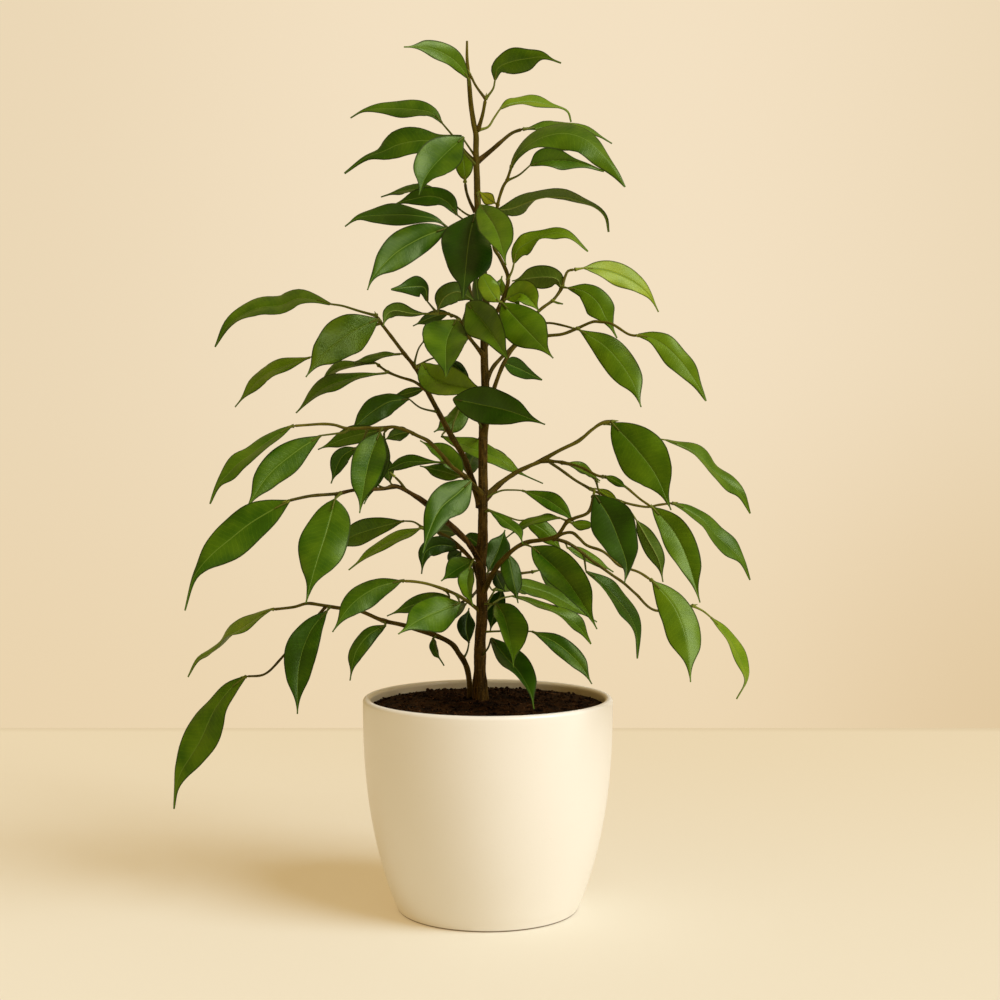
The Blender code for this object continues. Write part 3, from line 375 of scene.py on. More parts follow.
EYE = Vector((0.0068, -0.9314, 0.2618))
EYE_TILT = math.radians(2.0)
PICTURE = 1000
LENS, SENSOR = 60.0, 36.0
FOCAL = PICTURE * LENS / SENSOR
BARK_STEP = 1.6 * MM
SCAR_SPACING = 15 * MM
SCAR_SWELLING = 1.9 * MM
SCAR_RING = 0.9 * MM
GREEN_BELOW = 1.3 * MM
WOOD_ABOVE = 2.8 * MM
COLLAR_LENGTH = 4 * MM
BRANCH_COLLAR, TWIG_COLLAR = 0.55, 0.3
TIP_LENGTH = 2 * MM
END_BUD = (-0.5, 0.9, 2.1, 3.4)
TRUNK_BURIED = 45 * MM
ROOT_SPREAD = 9 * MM
TRUNK_THICKNESS = ((0, 10), (0.02, 9), (0.05, 6.9), (0.12, 6.3), (0.24, 5.8), (0.40, 5), (0.50, 4.5),
                   (0.56, 4.1), (0.75, 3.8), (0.88, 3), (0.96, 2), (1, 1.2))

# A stem's row: its route, its thickness in millimetres at its start and its end, how green it is, how far
# back and down it goes on in the soil, and how much its roots spread.
Stem = namedtuple("Stem", "route thick young buried flare", defaults=(0.0, None, 0.0))


def place(across, down, near):
    """The point seen at a pixel, near millimetres before the plane through the trunk."""
    right = (across - PICTURE / 2) / FOCAL
    up = (PICTURE / 2 - down) / FOCAL
    sine, cosine = math.sin(EYE_TILT), math.cos(EYE_TILT)
    ray = Vector((right, cosine + up * sine, up * cosine - sine))
    return EYE + ray * ((-near * MM - EYE.y) / ray.y)


def smooth_path(route):
    """A dense Catmull-Rom curve through a route's places."""
    points = [place(*spot) for spot in route]
    ends = [points[0] * 2 - points[1]] + points + [points[-1] * 2 - points[-2]]
    steps = 8
    path = []
    for a, b, c, d in zip(ends, ends[1:], ends[2:], ends[3:]):
        for step in range(steps):
            t = step / steps
            path.append(0.5 * (2 * b + (c - a) * t + (2 * a - 5 * b + 4 * c - d) * t * t
                               + (3 * b - 3 * c + d - a) * t ** 3))
    return path + [points[-1].copy()]


def stem_path(row):
    """A stem's middle line, carried down into the soil where it is buried."""
    path = smooth_path(row.route)
    if not row.buried:
        return path
    bottom = path[0] - Vector((row.buried[0], 0, row.buried[1]))
    return [bottom, bottom.lerp(path[0], 0.5)] + path


def path_length(path):
    return sum((b - a).length for a, b in zip(path, path[1:]))


def along(path, share):
    """The point and the direction at a share of a path's length."""
    lengths = [0.0, *accumulate((b - a).length for a, b in zip(path, path[1:]))]
    goal = share * lengths[-1]
    i = next(i for i in range(1, len(path)) if lengths[i] >= goal - 1e-9)
    t = (goal - lengths[i - 1]) / max(lengths[i] - lengths[i - 1], 1e-9)
    before, after = path[max(i - 2, 0)], path[min(i + 1, len(path) - 1)]
    return path[i - 1].lerp(path[i], t), (after - before).normalized()


def stations(path, step, side):
    """Places about a step apart on a path: the share, the point, and two ways across that never twist."""
    last = max(3, round(path_length(path) / step))
    for share in (i / last for i in range(last + 1)):
        middle, ahead = along(path, share)
        side = (side - ahead * side.dot(ahead)).normalized()
        yield share, middle, side, ahead.cross(side)


def stem_radius(row, length, collar, share):
    """Half of a stem's thickness at a share of its length: the trunk's from its table above the soil, and
    another's from a collar at its foot, a taper and a rounded end."""
    if row.flare:
        under = TRUNK_BURIED / length
        above = min(1.0, max(0.0, (share - under) / (1 - under)))
        (a, wide), (b, narrow) = next(pair for pair in zip(row.thick, row.thick[1:]) if above <= pair[1][0])
        return 0.5 * MM * (wide + (narrow - wide) * (above - a) / (b - a))
    start, end = (0.5 * MM * t for t in row.thick)
    tip = min(1.0, (1 - share) * length / TIP_LENGTH + 0.35)
    foot = 1 + collar * math.exp(-share * length / COLLAR_LENGTH)
    return (start + (end - start) * share ** 0.8) * tip * foot


def grow_bark(bark, path, row, collar, scars, seed):
    """A stem with rough bark, a swelling and a ring at each leaf scar, and roots where it flares."""
    length = path_length(path)
    sides, swelling = (20, 0.05) if row.flare else (12, 0.14)
    rings = []
    for share, middle, side, other in stations(path, BARK_STEP, Vector((0, -1, 0))):
        radius, ring, run = stem_radius(row, length, collar, share), 0.0, share * length
        for scar in scars:
            away = abs(share - scar) * length
            radius *= 1 + swelling * math.exp(-(away / SCAR_SWELLING) ** 2)
            ring = max(ring, math.exp(-(away / SCAR_RING) ** 2))
        radius *= 1 - 0.05 * ring
        wood = min(1.0, max(0.0, (2 * radius - GREEN_BELOW) / (WOOD_ABOVE - GREEN_BELOW)))
        fresh = min(1.0, row.young * (share ** 3 if row.flare else 0.4 + share))
        flare = row.flare * math.exp(-((run - TRUNK_BURIED) / ROOT_SPREAD) ** 2)
        corners = []
        for turn in (math.tau * i / sides for i in range(sides)):
            x, y = math.cos(turn), math.sin(turn)
            ridge = noise.noise(Vector((x * 1.6 + seed, y * 1.6, run * 160)))
            knob = noise.noise(Vector((x + seed, y + 5, run * 55)))
            root = flare * math.cos(3 * turn + 0.8)
            reach = radius * (1 + (0.02 + 0.07 * wood) * ridge + 0.06 * wood * knob + root)
            spot = middle + (side * x + other * y) * reach
            corners.append(bark.corner(spot, (x * radius, y * radius, run), (wood, ring, fresh)))
        rings.append(corners)
    bark.tube(rings)


rind = Finish("fig bark", Specular_IOR_Level=0.09, Specular_Tint=(1.0, 0.80, 0.45, 1.0))
grain = rind.mark("grain")
wood, ring, young = rind.parts(rind.mark("growth"))
fissure = rind.grain(900.0, 3.0, grain, (1.0, 1.0, 0.16))
patch = rind.grain(110.0, 2.0)
pores = rind.ramp(rind.grain(1300.0, 0.0, grain, (0.55, 0.55, 1.0)), 0.66, 0.74)
brown = rind.mix(rind.ramp(fissure, 0.36, 0.62), (0.010, 0.0042, 0.0005), (0.062, 0.0310, 0.0045))
brown = rind.mix(rind.ramp(patch, 0.42, 0.68, 0.0, 0.40), brown, (0.092, 0.054, 0.0095))
brown = rind.mix(pores * 0.35, brown, (0.17, 0.105, 0.035))
olive = rind.mix(rind.ramp(fissure, 0.3, 0.7), (0.034, 0.030, 0.0040), (0.078, 0.066, 0.0100))
colour = rind.mix(rind.ramp(wood + patch * 0.5 - 0.25, 0.12, 0.80), olive, brown)
colour = rind.mix(ring * 0.45, colour, (0.022, 0.013, 0.003))
fresh = young * rind.ramp(fissure, 0.3, 0.7, 0.6, 1.0)
rind.feed("Base Color", rind.mix(fresh, colour, (0.150, 0.132, 0.011)))
rind.feed("Roughness", 0.48 + wood * 0.22)
rind.bump(fissure * (0.25 + wood * 0.75) + pores * 0.3, 0.35 * MM, 0.9)


# The leaves: thin, leathery and glossy, 4 to 9 cm long and drawn out to a drip tip. Each is folded a little
# along a pale midrib, waved at its margin and paler underneath, and hangs on a slender green stalk.

TRUNK_ACROSS = 488
BLADE_PROPORTION = 0.13
BLADE_THICKNESS = 0.42 * MM
RIB_WIDTH = 0.34 * MM
RIB_GROOVE = 0.16 * MM
RIB_RIDGE = 0.42 * MM
FULLNESS = 1.04
BLADE_ROWS = 32
BLADE_COLUMNS = (0, 0.14, 0.32, 0.52, 0.72, 0.90, 1)
VEIN_SPACING = 2.6
STALK_RADIUS = 0.52 * MM
STALK_FOOT = 1.6 * MM
STALK_UNDER = 0.10
AXIL_BUD = (0.3, 1.0, 1.7, 2.3)

# A leaf's row: the pixel its stalk grows from, its midrib's pixels, its base and tip depths, its two
# half-widths in pixels, how light it is (its own tone, with painted shade and light mixed in) and the pixels
# its stalk passes; then the side it shows, how long its tail is, the share of its length where it is widest,
# how deep it folds and how thick its stalk is.
# Where it curls or twists, half runs from its base to its tip: a width, (share, width, width) ..., a width.
Leaf = namedtuple("Leaf", "at rib near half tone stalk shows drip belly fold stout",
                  defaults=(None, (), "face", 0.0, 0.42, None, 1.25))


def nearest_on(routes, across, down):
    """The route nearest to a pixel, and the place on it: its own pixel and its depth."""
    found = []
    for number, route in enumerate(routes):
        for a, b in zip(route, route[1:]):
            dx, dy = b[0] - a[0], b[1] - a[1]
            t = ((across - a[0]) * dx + (down - a[1]) * dy) / max(dx * dx + dy * dy, 1e-9)
            spot = tuple(p + (q - p) * min(1.0, max(0.0, t)) for p, q in zip(a, b))
            found.append((math.hypot(spot[0] - across, spot[1] - down), number, spot))
    return min(found, key=lambda one: one[0])[1:]


def sunk_path(pixels, near_start, near_end):
    """A curve through pixels, with depths spread evenly along it from start to end."""
    run = [0.0, *accumulate(math.dist(a, b) for a, b in zip(pixels, pixels[1:]))]
    return smooth_path([(x, y, near_start + (near_end - near_start) * r / run[-1])
                        for (x, y), r in zip(pixels, run)])


def blade_width(share, row):
    """Half of a blade's width, as a share of its widest, from the base (0) to the tip (1). The blade is full
    at its belly and runs out in a slim tail, which a drip makes longer."""
    body = min(1.0, share / (1 - 0.6 * row.drip))
    swell = math.sin(math.pi * body ** (math.log(0.5) / math.log(row.belly)))
    swell = max(0.0, swell) * (1 - 0.27 * body ** 3)
    late = min(1.0, max(0.0, (body - 0.5 - 0.4 * row.belly) / 0.24))
    return FULLNESS * max(swell * (1 - 0.5 * late * late * (3 - 2 * late)), 0.03)


def half_widths(row, share):
    """The two half-widths, in pixels, that a blade shows at a share of its length. Where its row gives more
    than two, its outline is a smooth curve through all of them."""
    if len(row.half) == 2:
        return [max(side * blade_width(share, row), 1.2 - 0.5 * share) for side in row.half]
    base, *inner, tip = row.half
    knots = [(0, base, base), *inner, (1, tip, tip)]
    slopes = [[(q - p) / (high[0] - low[0]) for p, q in zip(low[1:], high[1:])]
              for low, high in zip([knots[0], *knots], [*knots[1:], knots[-1]]) if high is not low]
    number = next(i for i, high in enumerate(knots[1:]) if share <= high[0])
    low, high = knots[number], knots[number + 1]
    step = high[0] - low[0]
    t = (share - low[0]) / step
    return [p * (1 + 2 * t) * (1 - t) ** 2 + q * t * t * (3 - 2 * t)
            + step * (before * t * (1 - t) ** 2 - after * t * t * (1 - t))
            for p, q, before, after in zip(low[1:], high[1:], slopes[number], slopes[number + 1])]


def blade_lines(path, row, draw):
    """The midrib and the two edges of a blade, with the way that its upper face looks, at each of its rows,
    and how far each half is turned edge on."""
    length = path_length(path)
    pixel = (path[0] - EYE).length / FOCAL
    first, last = row.rib[0], row.rib[-1]
    shares = [r / BLADE_ROWS for r in range(BLADE_ROWS + 1)]
    shown = [half_widths(row, share) for share in shares]
    half = [max(widths) / FULLNESS for widths in zip(*shown)]
    lies = abs(last[0] - first[0]) >= abs(last[1] - first[1])
    outward = 1.0 if first[0] + last[0] > 2 * TRUNK_ACROSS else -1.0
    toward = 1.0 if row.shows == "face" else -1.0
    true_half = max(max(half) * pixel, BLADE_PROPORTION * length)
    frames = []
    for share in shares:
        middle, ahead = along(path, share)
        view = (middle - EYE).normalized()
        sideways, away = ahead.cross(view).normalized(), (view - ahead * view.dot(ahead)).normalized()
        frames.append((middle, ahead, sideways, away))
    middle_way = frames[BLADE_ROWS // 2][2]
    first_side = 1.0 if (middle_way.z > 0 if lies else middle_way.x < 0) else -1.0
    reach = []
    for widest, sign in zip(half, (first_side, -first_side)):
        goes = middle_way * sign
        farther = 1.0 if goes.z * 0.8 + goes.x * 0.6 * outward > 0 else -1.0
        reach.append((sign, math.sqrt(max(true_half ** 2 - (widest * pixel) ** 2, 0.0)) * farther * toward))
    ripple = [(draw.uniform(0, math.tau), draw.uniform(1.3, 2.2), draw.uniform(0.03, 0.07)) for _ in reach]
    lines = []
    for share, widths, (middle, ahead, sideways, away) in zip(shares, shown, frames):
        edges = [(sideways * sign * width * pixel + away * hidden * blade_width(share, row))
                 * (1 + size * math.sin(math.tau * waves * share + phase))
                 for (sign, hidden), width, (phase, waves, size) in zip(reach, widths, ripple)]
        face = (edges[0] - edges[1]).cross(ahead).normalized()
        if face.dot(away) * toward > 0:
            face.negate()
        lines.append((share, middle, edges, face))
    return lines, [abs(hidden) / true_half for _, hidden in reach]


def grow_blade(foliage, path, row, tone, draw):
    """One blade as a thin closed shell, grooved along its midrib above and ribbed below."""
    length = path_length(path)
    lines, edge_on = blade_lines(path, row, draw)
    gutter, crown = draw.uniform(0.08, 0.18), draw.uniform(0.01, 0.05)
    gutter = gutter if row.fold is None else row.fold
    waves = [(draw.uniform(0, math.tau), draw.uniform(1.3, 2.3), draw.uniform(0.12, 0.30)) for _ in edge_on]
    upper_rows, under_rows = [], []
    for share, middle, edges, face in lines:
        broad = (edges[0].length + edges[1].length) / 2
        rib = min(0.3, RIB_WIDTH * (1 - 0.6 * share) / max(broad, 0.1 * MM))
        columns = [rib + (1 - rib) * c for c in BLADE_COLUMNS]
        upper, under = [], []
        for side, edge, (phase, count, size), turned in zip((1, -1), edges, waves, edge_on):
            size *= 0.45 + 0.20 * turned
            for v in [*reversed(columns), 0.0] if side == 1 else columns:
                lift = -gutter * (1 - v) ** 1.15 + crown * math.sin(math.pi * v)
                lift += size * v * v * math.sin(math.tau * count * share + phase) * min(1.0, share * 4)
                spot = middle + edge * v + face * (lift * broad)
                thick = BLADE_THICKNESS * (1 - 0.65 * v ** 3) / 2
                groove = RIB_GROOVE * (1 - share) if v == 0.0 else 0.0
                ridge = RIB_RIDGE * (1 - 0.75 * share) if v == 0.0 else 0.0
                flat = (edge.length * v * side / MM, share * length / MM)
                kind = (share, tone, v)
                if v == 1.0:
                    upper.append(foliage.corner(spot, (*flat, 1.0), kind))
                    under.append(upper[-1])
                else:
                    upper.append(foliage.corner(spot + face * (thick - groove), (*flat, 1.0), kind))
                    under.append(foliage.corner(spot - face * (thick + ridge), (*flat, 0.0), kind))
        upper_rows.append(upper)
        under_rows.append(under)
    foliage.weave(upper_rows, closed=False)
    foliage.weave([list(reversed(row)) for row in under_rows], closed=False)
    foliage.faces += [tuple(upper_rows[end] + under_rows[end][-2:0:-1]) for end in (0, -1)]


def grow_rod(foliage, path, radius_at, tone, sides=8, step=0.5 * MM):
    """A smooth green rod, for a stalk or a bud."""
    foliage.tube([[foliage.corner(middle + (side * x + other * y) * radius_at(share), (0.0, share, 0.5),
                                  (-1.0, tone, 0.0)) for x, y in around(1, sides)]
                  for share, middle, side, other in stations(path, step, Vector((0, -1, 0.1)))])


def grow_leaf(foliage, start, heading, row, draw):
    """One leaf: its stalk, which runs on under the blade as the midrib, its blade, and its axil's bud."""
    base, tip = row.near
    rib = sunk_path(row.rib, base, tip)
    # A leaf without a tone of its own, as at the back, draws a dark one: painted shade inside the crown.
    tone = draw.uniform(0.15, 0.42) if row.tone is None else row.tone
    stalk = sunk_path([start[:2], *row.stalk, row.rib[0]], start[2], base)
    stalk[-1:] = [rib[0], along(rib, STALK_UNDER)[0]]
    flare = STALK_FOOT / path_length(stalk)
    slim = STALK_RADIUS * row.stout
    grow_rod(foliage, stalk, lambda share: slim * (1.0 + 0.9 * math.exp(-share / flare) - 0.35 * share),
             tone, sides=10, step=1.5 * MM)
    rise = ((stalk[2] - stalk[0]).normalized() + heading).normalized()
    bud = [stalk[0] + rise * reach * MM for reach in AXIL_BUD]
    grow_rod(foliage, bud, lambda share: (0.62 * math.sqrt(max(0.0, 1 - share)) + 0.06) * MM, tone + 0.2)
    grow_blade(foliage, rib, row, tone, draw)


def grow(name, stems, leaves):
    """A leafy stem: its bark in one piece, and its leaves with their stalks and buds in another."""
    draw = random.Random(name)
    bark, foliage = Shape("grain", "growth"), Shape("blade", "kind")
    routes, paths = [row.route for row in stems], [stem_path(row) for row in stems]
    scars = [[] for _ in stems]
    for row in leaves:
        number, spot = nearest_on(routes, *row.at)
        path, point = paths[number], place(*spot)
        share = min((i / 200 for i in range(201)), key=lambda s: (along(path, s)[0] - point).length)
        scars[number].append(share)
        grow_leaf(foliage, spot, along(path, share)[1], row, draw)
    for number, (row, path) in enumerate(zip(stems, paths)):
        length = path_length(path)
        marks = scars[number] + [s for s in (i * SCAR_SPACING / length for i in range(1, 40)) if s < 0.95]
        grow_bark(bark, path, row, TWIG_COLLAR if number else BRANCH_COLLAR, marks, draw.uniform(0, 9))
        if not row.flare:
            ahead = along(path, 1.0)[1]
            bud = [path[-1] + ahead * reach * MM for reach in END_BUD]
            grow_rod(foliage, bud, lambda share: (0.70 * (1 - share) ** 0.7 + 0.06) * MM, 0.6, step=0.6 * MM)
    dress(bark.make("bark_" + name), rind, name, sharp=50)
    dress(foliage.make("leaves_" + name), green, name, sharp=70)


green = Finish("fig leaf", Specular_IOR_Level=0.30, Specular_Tint=(0.88, 1.0, 0.42, 1.0))
across, run, upper = green.parts(green.mark("blade"))
share, tone, edge = green.parts(green.mark("kind"))
away = abs(across)
# Painted shade: a dark line along each blade's margin, on both faces; the same strip is also rougher.
painted_margin_shade = green.ramp(away * (1.0 - edge) / (edge + 0.001), 0.34, 1.05, 1.0, 0.0)
painted_margin_shade = painted_margin_shade * green.ramp(edge, 0.5, 0.8)
stalk = green.ramp(share, -0.5, -0.1, 1.0, 0.0)
blotch = green.grain(75.0, 2.0)
fine = green.grain(1500.0, 1.0)
course = (run - away * 0.5) / VEIN_SPACING + green.grain(260.0, 0.0) * 0.5
vein = green.ramp(abs(course.fraction() - 0.5) * 2.0, 0.74, 0.98)
between = green.ramp(abs((course * 3.0).fraction() - 0.5) * 2.0, 0.70, 1.0)
veins = (vein + between * 0.3) * green.ramp(away, 0.2, 0.8)
midrib = green.ramp(away / (1.15 - share * 0.75), 0.16, 0.46, 1.0, 0.0)
light = tone * 1.15 - 0.03 + (blotch - 0.5) * 0.40 + veins * 0.045
stops = ((0.0, (0.0012, 0.014, 0.0)), (0.35, (0.0235, 0.074, 0.0003)), (0.65, (0.116, 0.203, 0.0034)),
         (1.0, (0.320, 0.380, 0.0175)))
top = green.node("ShaderNodeValToRGB", {"stops": stops}, {"Fac": light}, output="Color")
top = green.mix(midrib * green.ramp(tone, 0.0, 0.4, 0.45, 0.80), top, (0.125, 0.205, 0.020))
light = tone + (blotch - 0.5) * 0.25 + veins * 0.07
stops = ((0.0, (0.020, 0.042, 0.0016)), (0.5, (0.056, 0.104, 0.0050)), (1.0, (0.200, 0.275, 0.0230)))
below = green.node("ShaderNodeValToRGB", {"stops": stops}, {"Fac": light}, output="Color")
below = green.mix(midrib * 0.8, below, (0.190, 0.240, 0.040))
colour = green.mix(green.ramp(upper, 0.2, 0.8), below, top)
colour = green.mix(painted_margin_shade * 0.78, colour, (0.005, 0.010, 0.0001))
skin = green.mix(green.ramp(tone, 0.1, 0.9), (0.045, 0.050, 0.0060), (0.200, 0.230, 0.0220))
green.feed("Base Color", green.mix(stalk, colour, skin))
matt = green.ramp(upper, 0.2, 0.8, 0.20, 0.0)
green.feed("Roughness", 0.28 + matt + painted_margin_shade * 0.25 + blotch * 0.10 + midrib * 0.10 + fine * 0.06)
green.bump(blotch * 2.2 - veins * 0.14 - midrib * 0.5 + fine * 0.50, 0.16 * MM, 0.7)


# The trunk with its leader and the leaves that grow straight from it. The leader is the youngest wood, and
# its leaves stand closer together than the ones lower down.

grow("trunk", [
    Stem([(480.5, 705, 0), (480, 694, 0), (480, 680, 0), (480, 664, 0), (480, 643, 0), (481.5, 623, 0),
        (482, 602, 1), (481.6, 582, 1), (481, 562, 1), (482.5, 541, 1), (483, 505, 0), (483, 465, -1),
        (483.4, 425, -2), (485.3, 391, -2), (484, 345, -1), (486, 300, 0), (481, 250, 0), (478, 215, 0),
        (477, 180, 0), (476.5, 165, 0), (476, 150, 0), (476, 135, 0), (473.5, 122, 0), (471, 105, 0),
        (469.5, 88, 0), (468, 70, 0), (467, 57, 0), (467, 41, 0)],
        TRUNK_THICKNESS, young=0.7, buried=(0, TRUNK_BURIED), flare=0.1),
    Stem([(478, 130, 0), (482.5, 115, 3), (485.5, 99, 5)], (2.2, 1.6), young=0.5),
    Stem([(485.5, 99, 5), (476, 86, 4), (470, 74, 2)], (1.5, 1.2), young=0.3),
    Stem([(478, 161, -2), (489.5, 152, -4), (502, 141, -5), (512, 133, -6), (523, 129, -6)], (3, 1.6),
        young=0.2),
    Stem([(475, 212, -4), (470, 202, -5), (466.5, 192, -6), (465, 182, -7)], (1.9, 1.4)),
], [
    Leaf((470, 86), [(469, 80), (460.5, 66), (448, 55), (429, 47.3), (404, 47)], (3, 26), (9, 9), 0.46,
        belly=0.48),
    Leaf((485.5, 99), [(495, 80), (498, 68), (511, 61.5), (527, 58.5), (543, 57), (561, 63)], (5, 22), (1.2,
        (0.15, 7, 6), (0.35, 12.5, 12.5), (0.55, 8.5, 12), (0.72, 5.5, 3.5), (0.86, 1.5, 1.3), 0.8), 0.42,
        [(493, 89)]),
    Leaf((479, 133), [(500, 109), (512, 103), (531, 100.5), (552, 105), (567, 111), (571, 122)], (-4, -22),
        (1, (0.16, 5, 3.5), (0.36, 5.5, 5), (0.56, 3.5, 2.8), (0.72, 2.2, 1.6), (0.86, 1.2, 1.2), 0.8), 0.6,
        [(488, 127), (494, 118)], stout=1.4),
    Leaf((475, 162), [(442, 123), (431, 112), (411, 108), (384, 107.5), (364, 110.5), (350.5, 118)],
        (-12, -22), (7.5, 8.5), 0.36, [(466, 152), (453, 136)], stout=1.4),
    Leaf((476, 158), [(462, 137), (440, 140), (418, 140), (398, 144), (383, 151), (367, 157),
        (344.5, 173.5)], (-2, -10), (2, (0.18, 6.5, 9), (0.35, 10.5, 13.5), (0.52, 12.5, 14),
        (0.62, 9.5, 10), (0.7, 4, 5.5), (0.8, 2.5, 2.5), 1), 0.33),
    Leaf((475, 166), [(464, 137), (442, 156), (427, 174), (419, 195)], (14, 44), (20, 17), 0.36,
        [(463, 150)], belly=0.48),
    Leaf((465, 182), [(465, 180), (463.5, 162), (459, 144)], (-6, -16), (8, 9), 0.56),
    Leaf((524, 130), [(526, 129), (560, 125), (588, 130), (612, 143.5)], (-6, -30), (4.5, 6), 0.42),
    Leaf((477, 212), [(475, 214), (468, 244), (463, 299)], (12, 58), (2, (0.08, 12, 10), (0.2, 23.5, 18),
        (0.43, 24.5, 26), (0.58, 19, 23.5), (0.7, 12, 15.5), (0.83, 5, 5.5), 1), 0.14),
    Leaf((477, 192), [(480, 205), (496, 230), (506, 265)], (18, 68), (15, 16.5), 0.44, fold=0),
    Leaf((477, 225), [(457, 215), (447, 201), (431, 195.5), (411, 199), (390, 206)], (-5, -22), (9.5, 9.5),
        0.3, [(466, 221)]),
    Leaf((477, 217), [(448, 196), (412, 188.5), (381, 197)], (-18, -36), (5, 5.5), 0.38, [(468, 215),
        (456, 206)]),
    Leaf((479, 232), [(447, 227), (435, 219), (413, 214.5), (392, 214), (373, 215), (358, 217.5),
        (345, 226.5)], (4, 12), (9, 10.5), 0.3, [(460, 232)], belly=0.54),
    Leaf((479, 240), [(447, 228), (424, 236), (399, 250), (382, 266), (372, 279), (367.5, 290)], (16, 38),
        (16, 17), 0.34, [(462, 229)]),
    Leaf((485, 430), [(453, 399), (478, 404), (509, 411), (545, 424.5)], (26, 66), (18.5, 17.5), 0.24,
        [(470, 410)], fold=0.05, belly=0.4),
    Leaf((483, 499), [(522, 490.5), (545, 498.5), (562.5, 510), (575, 523.5)], (6, 22), (9, 8), 0.4,
        [(500, 491), (512, 490)], belly=0.54),
    Leaf((484, 512), [(490, 511), (507, 522), (518, 532), (523, 544)], (6, 30), (6, 6), 0.36, belly=0.5),
    Leaf((484, 508), [(526, 520), (545, 531), (563, 552)], (-2, 2), (9, 10), 0.45, [(500, 514), (517, 520)]),
    Leaf((481, 566), [(473, 561), (459, 568), (441, 581)], (3, 8), (12, 9), 0.35),
    Leaf((481, 558), [(470, 566), (467, 584), (473, 606)], (8, 30), (9, 7), 0.45, [(475, 558)]),
    Leaf((483, 545), [(479, 545), (471, 539), (462, 536)], (-6, -12), (8, 8), 0.2),
    Leaf((482, 580), [(488, 572), (498, 551), (505, 530)], (-6, -20), (13, 13), 0.24, belly=0.5),
    Leaf((482, 619), [(512, 596), (530, 600.5), (550, 608), (568, 617.5), (580, 628), (591, 644)],
        (-10, -24), (1, (0.2, 2.5, 2.5), (0.4, 5, 4), (0.6, 7.5, 5.5), (0.75, 8, 5), (0.88, 3, 2.5), 0.8),
        0.45, [(489, 607), (500, 599)]),
    Leaf((482, 616), [(508, 582), (527, 586), (554, 594.5), (597, 622)], (-18, -34), (8, 9.5), 0.42,
        [(489, 600), (497, 588)]),
    Leaf((481, 632), [(532, 631.5), (557, 643), (578.5, 662), (591.8, 684)], (10, 22), (10, 10), 0.34,
        [(505, 631), (522, 631)], belly=0.52),
    Leaf((482, 604), [(496, 604), (505, 617), (511, 643), (513.5, 667)], (12, 52), (10, 19), 0.38),
    Leaf((481, 658), [(491, 638), (503, 652), (519, 670), (530, 690), (534, 709)], (12, 58), (8.5, 13.5),
        0.2, [(488, 648)]),
])


# The shoot: a second, thinner stem from the same root. It leaves the soil against the trunk and arches far
# out to the left under the weight of its leaves, and the longest of them hangs beside the pot.

SHOOT_BURIED = (1 * MM, 26 * MM)

grow("shoot", [
    Stem([(470, 703, -7), (470, 690, -7), (468, 672, -8), (464, 661, -9), (459, 653.7, -10), (452, 644, -12),
        (437, 636, -15), (417, 629.6, -18), (403, 625, -20), (383, 620.6, -23), (367.6, 614, -25),
        (356, 609.5, -27), (338.6, 608, -29), (320.7, 605, -31), (307, 603.4, -32), (294, 607, -33),
        (273, 609.5, -34)], (3.9, 1.6), young=0.2, buried=SHOOT_BURIED),
    Stem([(326, 606.5, -30), (305, 630, -34), (282, 657.5, -37), (265, 674, -39), (246, 676.5, -40)],
        (1.7, 1.3)),
], [
    Leaf((246, 676.5), [(245, 677), (230.5, 688), (216.5, 704.5), (207.5, 721), (200, 738.5), (190.5, 755),
        (181, 771), (176, 788), (174, 809)], (-40, -32), (1.5, (0.12, 6.5, 8.5), (0.26, 8, 11.5),
        (0.38, 14.5, 16), (0.5, 17, 18), (0.63, 13, 15), (0.75, 6.5, 9), (0.86, 2.2, 3), 0.8), 0.42),
    Leaf((274, 609.5), [(272, 609), (258, 615.5), (244, 624), (230, 633), (220, 643.5), (209, 652),
        (197.5, 659.5), (188, 677)], (-34, -46), (1, (0.14, 3.5, 4.5), (0.29, 4.5, 5), (0.45, 4, 2.5),
        (0.57, 3.5, 3.5), (0.7, 3.5, 2.5), (0.82, 1.5, 1.5), 0.7), 0.56),
    Leaf((330, 607), [(327, 611), (310, 632), (299, 665), (297.4, 714)], (-26, -4), (16, 15), 0.3,
        belly=0.46),
    Leaf((384, 621), [(386, 625), (368.5, 634.5), (355, 653), (350, 680.5)], (-20, -2), (7, 10), 0.36),
    Leaf((437, 635), [(433, 638), (435, 650), (444, 665.6)], (-12, 4), (5, 3.5), 0.25, drip=0.3),
    Leaf((463, 659), [(469, 643), (466, 627), (469, 608)], (-15, -26), (9, 9), 0.04, [(467, 652)],
        belly=0.5),
])


# The branches on the left, from the top down. Each grows from the trunk's bark on a small collar, is woody
# at its foot and green at its end, and bends under its own leaves.

